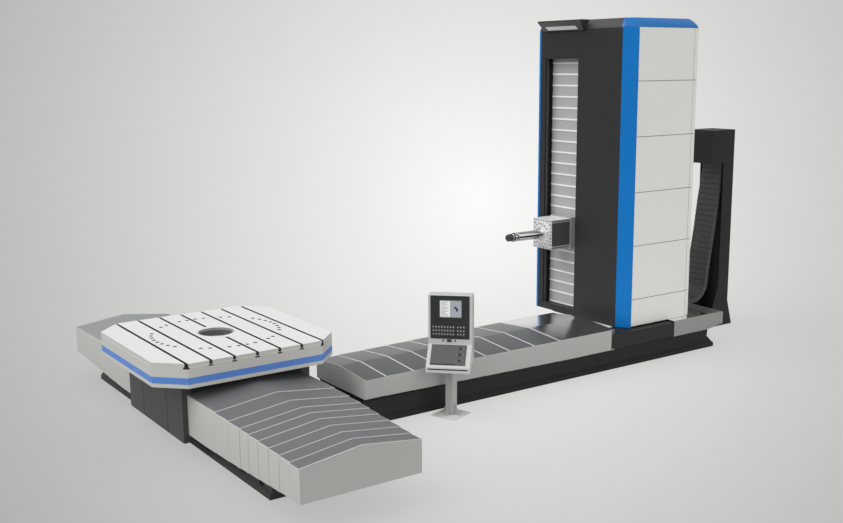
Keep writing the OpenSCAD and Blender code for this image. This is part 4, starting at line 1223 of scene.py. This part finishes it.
    @staticmethod
    def back():
        """Two pairs of doors on the column's back, with their handles, hinges and louvres."""
        low, high = corners("rear_cover")
        y, mid_x = high[1], (low[0] + high[0]) / 2
        door_w = (high[0] - low[0]) / 2 - 0.12
        doors, dark, metal = [], [], []
        for z0, z1 in REAR_DOORS:
            middle = (z0 + z1) / 2
            for side in (-1, 1):
                x = mid_x + side * (door_w / 2 + 0.01)
                doors.append(pad(door_w, z1 - z0, 0.006, 0.01, 0.003, "Y").at(x, y, middle))
                handle = pad(0.03, 0.16, 0.014, 0.012, 0.004, "Y")
                metal.append(handle.at(mid_x + side * 0.07, y + 0.006, middle))
                for z in (z0 + 0.2, z1 - 0.2):
                    hinge = swept(rectangle(0.022, 0.022, 0.009, 3), [z - 0.05, z + 0.05], "Z")
                    metal.append(hinge.at(mid_x + side * (door_w + 0.02), y + 0.008, 0))
                blades = [(x, y + 0.006, z1 - 0.3 - n * 0.022) for n in range(9)]
                dark.append(louvre(0.42).copies(blades))
        piece("rear_doors", total(doors), "column", "panel_paint", "panel")
        piece("rear_louvres", total(dark), "column", "panel_paint", "drive")
        piece("rear_fittings", total(metal), "column", "charcoal_paint", "knob")


# ---- Slats, ram and spindle ----

# The number of slats and how far the first edge is under the window's top, and the width and
# depth of the spindle's keyways.
SLATS, TOP_SLAT = 22, 0.084
KEYWAY_W, KEYWAY_IN = 0.03, 0.006


def slat_profile(z0, z1, back, edges):
    """Front and back of a stack of overlapping slats between two heights: each slat leans out
    towards its rolled lower edge. Points run down the front and up the flat back."""
    points, finish = [(back - 0.004, z1)], [0]
    for edge in edges:
        points += [
            (back - 0.009, edge + 0.03), (back - 0.0125, edge + 0.024),
            (back - 0.014, edge + 0.014), (back - 0.0125, edge + 0.003),
            (back - 0.008, edge + 0.0005), (back - 0.004, edge),
        ]
        # The rolled edges take finish 1, near-white, as a painted highlight.
        finish += [1, 1, 1, 1, 0, 0]
    points += [(back - 0.008, z0), (back, z0), (back, z1)]
    finish += [0, 0, 0]
    return np.array(points), finish


class MACHINE_OT_slats(bpy.types.Operator):
    """Slats above and below the headstock, as they stand; on the machine they draw together as it
    rises or falls
    """

    bl_idname = "machine.slats"
    bl_label = "Slats"

    def execute(self, context):
        top = corners("upper_apron")[1][2] - TOP_SLAT
        pitch = (top - corners("lower_apron")[0][2] - 0.005) / SLATS
        every_edge = top - np.arange(SLATS + 1) * pitch
        for node, fixed_end in (("upper_apron", 1), ("lower_apron", 0)):
            low, high = corners(node)
            edges = every_edge[(every_edge > low[2] + 0.002) & (every_edge < high[2] - 0.032)]
            profile, finish = slat_profile(low[2], high[2], high[1], edges)
            shape = surface([[(x, *point) for point in profile] for x in (low[0], high[0])])
            shape.finish = finish + [0, 0]
            x, y, _ = middle_of(node)
            ends = [(x, y, (low[2], high[2])[end]) for end in (fixed_end, 1 - fixed_end)]
            piece(
                node + "_slats", shape, None, "slat_steel", "slat slat_lip", (node,),
                blend=("column", "head", *ends),
            )
        return {"FINISHED"}


def keyed_bar(radius, y0, y1):
    """A round bar along Y with a keyway down each side: radius r, drawn in by the keyway's depth
    where the height is under half of its width."""
    u = circle(72)
    half = math.asin(KEYWAY_W / 2 / radius)
    sides = np.array([-half, -half + 1e-3, half - 1e-3, half])
    round_part = u[np.abs(np.sin(u)) > math.sin(half) + 0.02]
    u = np.sort(np.concatenate([round_part, sides % (2 * np.pi), sides + np.pi]))
    is_key = np.abs(np.sin(u)) < math.sin(half) - 1e-4
    r = radius - KEYWAY_IN * is_key
    outline = np.column_stack([r * np.cos(u), radius * np.sin(u)])
    shape = swept(outline, [(y0, 0.985), (y0 + 0.002, 1.0), y1], "Y")
    # The keyways' floors take finish 1, near-black, as painted shade.
    flat = is_key & np.roll(is_key, -1)
    shape.finish = [*flat.astype(int).tolist() * 2, 0, 0]
    return shape


class MACHINE_OT_ram(bpy.types.Operator):
    """Ram with its guide strips, wiper, flange, spindle and tool holder"""

    bl_idname = "machine.ram"
    bl_label = "Ram"

    def execute(self, context):
        low, high = corners("ram")
        middle, (width, _, height) = (low + high) / 2, high - low

        # The recessed sides take a dark steel as painted shade, and the top faces a near-white
        # steel as painted light.
        def by_place(centres, normals):
            side = np.abs(normals[:, 0]) > 0.9
            recess = side & (np.abs(centres[:, 0] - middle[0]) < width / 2 - 0.003)
            return np.select([recess, normals[:, 1] < -0.9, normals[:, 2] > 0.9], [1, 2, 3], 0)

        refined("ram", "ram_steel", "steel ram_recess ram_face ram_top", 0.003, choose=by_place)
        refined("ram_wiper", "ram_steel", "collar", 0.003)
        # The flange's near-white steel is partly its own polish and partly a painted highlight.
        refined("ram_flange", "ram_steel", "flange", 0.004)
        self.plate(low, high, middle, width, height)
        self.spindle(middle)
        return {"FINISHED"}

    @staticmethod
    def plate(low, high, middle, width, height):
        """Screws round the front plate and the flange, and the dark grooves along the ram."""
        head = cap_screw(0.011, 0.005).turned("X", 90)
        up = np.linspace(-height / 2 + 0.022, height / 2 - 0.022, 9)
        along = np.linspace(-width / 2 + 0.07, width / 2 - 0.07, 6)
        places = [(side * (width / 2 - 0.022), 0, z) for side in (-1, 1) for z in up]
        places += [(side * (width / 2 - 0.05), 0, z) for side in (-1, 1) for z in up[1:-1:2]]
        places += [(x, 0, side * (height / 2 - 0.022)) for side in (-1, 1) for x in along]
        screws = head.copies(np.array(places) + [middle[0], low[1], middle[2]])
        piece("plate_screws", screws, "ram_slide", "screw_steel", "screw")
        ring = on_axis(ring_of_places(0.178, 16, np.pi / 16), "Y")
        heads = head.copies(ring + [middle[0], corners("ram_flange")[0][1], middle[2]])
        piece("flange_screws", heads, "ram_slide", "screw_steel", "screw")
        groove = swept(rectangle(0.0004, 0.012, 0.0001, 1), [low[1] + 0.014, high[1] - 0.002], "Y")
        lines = [
            groove.at(middle[0] + side * width / 2, 0, middle[2] + end * (height / 2 - 0.026))
            for side in (-1, 1) for end in (-1, 1)
        ]
        piece("ram_grooves", total(lines), "ram_slide", "ram_steel", "groove")

    @staticmethod
    def spindle(middle):
        """Spindle nose, keyed boring spindle and the tool holder, turned about the ram's axis."""
        bar_low, bar_high = corners("boring_spindle")
        bar = keyed_bar((bar_high[0] - bar_low[0]) / 2 - 0.0003, bar_low[1], bar_high[1])
        piece(
            "boring_spindle_bar", bar.at(middle[0], 0, middle[2]), "quill", "screw_steel",
            "mirror groove", ("boring_spindle",),
        )
        refined("spindle_nose", "screw_steel", "mirror", 0.004, 3)
        tip = corners("tool_holder")[0][1] + 0.02
        profile = [
            (0.0, 0.04), (0.016, 0.04), (0.016, 0.002), (0.018, 0.0), (0.044, 0.0), (0.05, 0.005),
            (0.053, 0.026), (0.048, 0.03), (0.048, 0.038), (0.058, 0.044), (0.062, 0.064),
            (0.062, 0.076), (0.056, 0.08), (0.056, 0.09), (0.062, 0.094), (0.066, 0.098),
            (0.066, 0.118), (0.058, 0.124), (0.058, 0.134), (0.068, 0.14), (0.07, 0.146),
            (0.07, 0.176), (0.066, 0.182), (0.066, 0.2095), (0.0, 0.2095),
        ]
        body = lathe(profile, 56, "Y")
        is_dark = [h < 0.092 or 0.12 < h < 0.138 for _, h in profile[:-1]]
        body.finish = np.repeat(np.where(is_dark, 0, 1), 56).tolist() + [0, 1]
        key = pad(0.02, 0.05, 0.012, 0.003, 0.002).at(0, 0, 0.062)
        keys = total([key.turned("Y", a) for a in (0, 90, 180, 270)]).at(0, 0.135, 0)
        stud = lathe([(0.0, 0), (0.009, 0), (0.009, 0.012), (0.006, 0.014), (0.0, 0.014)], 12)
        studs = total([
            stud.at(0, 0, 0.05).turned("Y", a).at(0, 0.02, 0) for a in range(0, 360, 60)
        ])
        holder = (body + keys + studs).at(middle[0], tip, middle[2])
        piece(
            "tool_holder_body", holder, "quill", "holder_steel", "holder mirror", ("tool_holder",)
        )


# ---- Work light ----


class MACHINE_OT_light(bpy.types.Operator):
    """Work light above the headstock"""

    bl_idname = "machine.light"
    bl_label = "Work light"

    def execute(self, context):
        # The housing takes the charcoal lightened, as painted light.
        refined("work_light", "charcoal_paint", "lamp_housing", 0.006)
        refined("light_lens", "lens", "lamp_lens", 0.002)
        low, high = corners("work_light")
        y = middle_of("work_light")[1]
        heads = [(x, y, high[2]) for x in np.linspace(low[0] + 0.08, high[0] - 0.12, 5)]
        screws = cap_screw(0.008, 0.004).copies(heads)
        piece("light_screws", screws, "column", "screw_steel", "screw")
        return {"FINISHED"}


# ---- Mast and energy chain ----

CHAIN_WIDTH, CHAIN_HEIGHT = 0.436, 0.09
# The chain's run in the YZ plane: down from the mast, a half circle, and up to the column.
CHAIN_DOWN = (
    (5.4295, 3.054), (5.4295, 2.964), (5.4165, 2.868), (5.3255, 2.355), (5.2495, 1.801),
    (5.1675, 1.339),
)
CHAIN_TURN, CHAIN_RADIUS = (4.7785, 0.888), 0.33
CHAIN_UP = ((4.3785, 1.4), (4.2985, 1.95), (4.1985, 2.534), (4.1985, 2.794))
# Two places on the chain's front leg, handed to its piece with the blend; on the machine the leg
# is drawn out between them when the column moves forwards.
PULL_START, PULL_END = (4.40, 1.2), (3.62, 1.65)


def chain_line(pitch):
    """Places of the links in the YZ plane, their directions in degrees, and their true pitch. They
    are spread evenly along the run, whose corners are eased."""
    turn = np.array(CHAIN_TURN) + polar(CHAIN_RADIUS, np.linspace(0, -np.pi, 25))
    down = eased(np.vstack([CHAIN_DOWN, turn[:1]]), 0.04)
    up = eased(np.vstack([turn[-1:], CHAIN_UP]), 0.06)
    path = np.vstack([down[:-1], turn, up[1:]])
    run = np.concatenate([[0], np.cumsum(np.linalg.norm(np.diff(path, axis=0), axis=1))])
    count = round(run[-1] / pitch)
    places = (np.arange(count) + 0.5) * run[-1] / count
    at = np.column_stack([np.interp(places, run, path[:, n]) for n in (0, 1)])
    ahead = np.column_stack([np.interp(places + 0.02, run, path[:, n]) for n in (0, 1)]) - at
    return at, np.degrees(np.arctan2(ahead[:, 1], ahead[:, 0])), run[-1] / count


def chain_link(length):
    """One link lying along Y: a side plate with a round nose on each side, and a lid that closes
    it above and below."""
    h = CHAIN_HEIGHT / 2
    u = np.linspace(-np.pi / 2, np.pi / 2, 6)
    nose = np.column_stack([length / 2 - 0.012 + h * 0.4 * np.cos(u), h * 0.96 * np.sin(u)])
    outline = np.vstack([nose, -nose])
    side = swept(outline, [(-0.01, 0.95), -0.008, 0.008, (0.01, 0.95)], "X")
    out, inside = CHAIN_WIDTH / 2 - 0.01, CHAIN_WIDTH / 2 - 0.016
    lid = swept(rectangle(length * 0.94, 0.008, 0.003, 1), [-inside, inside], "X")
    sides = side.copies([(out, 0, 0), (-out, 0, 0)])
    return sides + lid.copies([(0, 0, h - 0.006), (0, 0, 0.006 - h)])


class MACHINE_OT_chain(bpy.types.Operator):
    """Mast, hood and the energy chain as it stands; on the machine the chain follows the column"""

    bl_idname = "machine.chain"
    bl_label = "Mast and chain"

    def execute(self, context):
        # The mast, hood and bracket take the charcoal darkened, as painted shade.
        refined("mast", "charcoal_paint", "mast", 0.004)
        refined("chain_hood", "charcoal_paint", "mast", 0.006)
        refined("chain_bracket", "charcoal_paint", "mast", 0.003)
        x = middle_of("energy_chain")[0]
        at, turns, pitch = chain_line(sizes().link)
        link = chain_link(pitch * 1.02)
        links = [link.turned("X", turn).at(x, y, z) for (y, z), turn in zip(at, turns)]
        piece(
            "chain_links", total(links), None, "chain_plastic", "chain", ("energy_chain",),
            blend=("base", "column", (x, *PULL_START), (x, *PULL_END)),
        )
        _, y, z = middle_of("chain_hood")
        lid = pad(0.3, 0.34, 0.004, 0.01, 0.002, "X").at(corners("chain_hood")[1][0], y, z)
        # The hood's lid takes the same darkened charcoal, as painted shade.
        piece("hood_lid", lid, "base", "charcoal_paint", "mast")
        return {"FINISHED"}


# ---- Console ----

# The console's own frame stands on the middle of its post, turned by FACE_TURN degrees, with +Y
# to its back. The desk slopes from the face's foot to its own front edge. FOOT_TOP is the height of
# the post's foot plate.
FACE_TURN, FOOT_TOP = 45.6, 0.017
FACE_Y, DESK_Y = -0.09, -0.35
DESK_Z, DESK_EDGE_Z = 1.045, 0.783
DESK_ANGLE = math.degrees(math.atan2(DESK_Z - DESK_EDGE_Z, FACE_Y - DESK_Y))
# The knobs' place across the desk, the first one's distance down its slope, and their pitch.
KNOB_X, KNOB_DOWN, KNOB_STEP = 0.1485, 0.065, 0.095
# Heights of the screen's middle, of the rows of keys, of the switches and of the lip's rail, the
# keys' places across the face, and the widths of the screen's marked rows.
SCREEN_Z, SWITCH_Z, LIP_Z = 1.548, 1.1, 0.755
ROW_WIDTHS = (0.09, 0.06, 0.1, 0.05, 0.085, 0.1, 0.07, 0.095, 0.06, 0.08, 0.1)
KEY_COLUMNS = [-0.234 + n * 0.04 for n in range(8)] + [0.108 + n * 0.041 for n in range(3)]
KEY_ROWS = (1.292, 1.241, 1.19)


def at_console(shape):
    """A shape drawn in the console's own frame, turned and moved there."""
    x, y, _ = middle_of("console_post")
    return shape.turned("Z", FACE_TURN).at(x, y, 0)


def on_face(width, height, thick, x, z, radius=0.004, edge=0.0015):
    """A plate on the upright face: its size, how far it stands out, and its middle."""
    return pad(width, height, thick, radius, edge, "Y").turned("Z", 180).at(x, FACE_Y, z)


def on_desk(shape, x, down):
    """A shape drawn on the XY plane, laid on the desk at a distance down its slope."""
    return shape.at(0, -down, 0).turned("X", DESK_ANGLE).at(x, FACE_Y, DESK_Z)


class MACHINE_OT_console(bpy.types.Operator):
    """Operator's console with its screen, keys and knobs"""

    bl_idname = "machine.console"
    bl_label = "Console"

    def execute(self, context):
        def by_height(centres, _):
            return centres[:, 2] < FOOT_TOP

        refined("console_post", "panel_paint", "post panel", 0.004, choose=by_height)
        refined("console_cabinet", "panel_paint", "console", 0.012, 3)
        self.face()
        self.keys()
        self.desk()
        for n, letter in enumerate("abc"):
            self.knob(f"knob_{n + 1}", f"knob_{letter}", KNOB_DOWN + n * KNOB_STEP)
        return {"FINISHED"}

    @staticmethod
    def add(name, shape, slot, finishes, replaced=()):
        if isinstance(shape, list):
            shape = total(shape)
        piece(name, at_console(shape), "console_head", slot, finishes, replaced)

    def face(self):
        """Membrane of the upright face, the screen with its bezel, fields and drawn shape, and
        vents on both sides."""
        membrane = on_face(0.544, 0.61, 0.005, -0.003, 1.428, 0.008)
        self.add("console_membrane", membrane, "key_plastic", "console_face", ("keypad",))
        glass = on_face(0.306, 0.244, 0.008, 0.008, SCREEN_Z, 0.008)
        self.add("console_screen", glass, "screen_glass", "field_frame", ("screen",))
        for name, x, finish in (("list", -0.068, "light"), ("view", 0.082, "grey")):
            field = on_face(0.142, 0.22, 0.0088, x, SCREEN_Z, 0.003, 0.0006)
            self.add("screen_" + name, field, "screen_glass", "field_" + finish)
        rows = [
            on_face(w, 0.007, 0.0092, -0.126 + w / 2, SCREEN_Z + 0.092 - n * 0.018, 0.001, 0.0003)
            for n, w in enumerate(ROW_WIDTHS)
        ]
        self.add("screen_rows", rows, "screen_glass", "field_mark")
        u = circle(40)
        r = 0.026 + 0.012 * np.cos(2 * u + 1.9) + 0.006 * np.sin(3 * u)
        drawn = swept(polar(r, u), [-0.0094, -0.0084], "Y")
        drawn = drawn.at(0.088, FACE_Y, SCREEN_Z + 0.004)
        self.add("screen_part", drawn, "screen_glass", "field_dark")
        vent = pad(0.05, 0.006, 0.0015, 0.0028, 0.0005).turned("Y", 90).turned("X", 90)
        places = np.array([(0.3085, 0.02, 1.45 + n * 0.022) for n in range(9)])
        vents = vent.copies(places) + vent.turned("Z", 180).copies(places * [-1, 1, 1])
        self.add("console_vents", vents, "panel_paint", "groove")
        door = pad(0.5, 0.62, 0.004, 0.01, 0.0015, "Y").at(0, 0.12, 1.36)
        self.add("console_door", door, "panel_paint", "console")
        lock = lathe([(0.0, 0), (0.011, 0), (0.011, 0.006), (0.008, 0.008), (0.0, 0.008)], 20)
        locks = lock.turned("X", -90).copies([(0.22, 0.124, z) for z in (1.16, 1.56)])
        self.add("console_locks", locks, "knob_plastic", "knob")

    def keys(self):
        """Three rows of keys, eight and three to a row, each a cap with a light dot, and three
        switches under them."""
        places = [(x, z) for z in KEY_ROWS for x in KEY_COLUMNS]
        caps = [on_face(0.034, 0.042, 0.008, x, z, 0.005, 0.002) for x, z in places]
        self.add("console_keys", caps, "key_plastic", "key_dark")
        dots = [on_face(0.017, 0.017, 0.0088, x, z, 0.006, 0.0005) for x, z in places]
        self.add("console_key_marks", dots, "key_plastic", "key")
        switches = [
            on_face(0.062, 0.034, 0.014, -0.012, SWITCH_Z, 0.004, 0.002),
            on_face(0.022, 0.02, 0.012, -0.1, SWITCH_Z, 0.006),
            on_face(0.02, 0.02, 0.012, 0.07, SWITCH_Z, 0.006),
        ]
        self.add("console_switches", switches, "key_plastic", "knob")

    def desk(self):
        """Grey desk plate in its pale frame, with the slot for papers and the rail on the lip."""
        plate = on_desk(pad(0.49, 0.325, 0.004, 0.006, 0.0015), -0.008, 0.17)
        self.add("desk_plate", plate, "panel_paint", "desk")
        slot = on_desk(pad(0.34, 0.012, 0.0052, 0.004, 0.001), -0.07, 0.318)
        self.add("desk_slot", slot, "key_plastic", "groove")
        rail = pad(0.55, 0.016, 0.003, 0.006, 0.001, "Y").turned("Z", 180).at(0, DESK_Y, LIP_Z)
        self.add("lip_slot", rail, "key_plastic", "groove")
        mark = pad(0.014, 0.005, 0.0046, 0.002, 0.0004)
        marks = [
            on_desk(mark, KNOB_X + dx, KNOB_DOWN + n * KNOB_STEP)
            for n in range(3) for dx in (-0.045, 0.045)
        ]
        self.add("desk_marks", marks, "key_plastic", "key")

    def knob(self, node, body, down):
        """A turned knob with a waist, a grip rib and a pointer, on its own round plate."""
        grip = lathe([
            (0.0, 0.0003), (0.014, 0.0003), (0.0145, 0.002), (0.0125, 0.004), (0.0125, 0.01),
            (0.0148, 0.013), (0.0145, 0.024), (0.0125, 0.0268), (0.0, 0.0268),
        ])
        grip = grip + pad(0.007, 0.026, 0.004, 0.002, 0.001).at(0, 0, 0.0255)
        grip = at_console(on_desk(grip, KNOB_X, down))
        piece(node + "_grip", grip, body, "knob_plastic", "knob", (node,))
        ring = lathe([
            (0.0, 0.0), (0.026, 0.0), (0.026, 0.001), (0.0245, 0.0012), (0.0, 0.0002),
        ], 40)
        self.add(node + "_ring", on_desk(ring, KNOB_X, down), "knob_plastic", "groove")


# ---- Panel and registration ----

STEPS = (
    MACHINE_OT_stage, MACHINE_OT_beds, MACHINE_OT_covers, MACHINE_OT_table, MACHINE_OT_column,
    MACHINE_OT_slats, MACHINE_OT_ram, MACHINE_OT_light, MACHINE_OT_chain, MACHINE_OT_console,
)


class MACHINE_PT_panel(bpy.types.Panel):
    """Sizes, colours and one button for each group of pieces"""

    bl_label = "Boring machine"
    bl_idname = "MACHINE_PT_panel"
    bl_space_type = "VIEW_3D"
    bl_region_type = "UI"
    bl_category = "Machine"

    def draw(self, context):
        for group in (context.scene.machine_sizes, context.scene.machine_colours):
            for name in type(group).__annotations__:
                self.layout.prop(group, name)
        for step in STEPS:
            self.layout.operator(step.bl_idname)


CLASSES = (MachineColours, MachineSizes, *STEPS, MACHINE_PT_panel)


def register():
    for made in CLASSES:
        bpy.utils.register_class(made)
    bpy.types.Scene.machine_colours = PointerProperty(type=MachineColours)
    bpy.types.Scene.machine_sizes = PointerProperty(type=MachineSizes)


def unregister():
    del bpy.types.Scene.machine_colours
    del bpy.types.Scene.machine_sizes
    for made in reversed(CLASSES):
        bpy.utils.unregister_class(made)


def main():
    register()
    for step in STEPS:
        group, name = step.bl_idname.split(".")
        getattr(getattr(bpy.ops, group), name)()


if __name__ == "__main__":
    main()
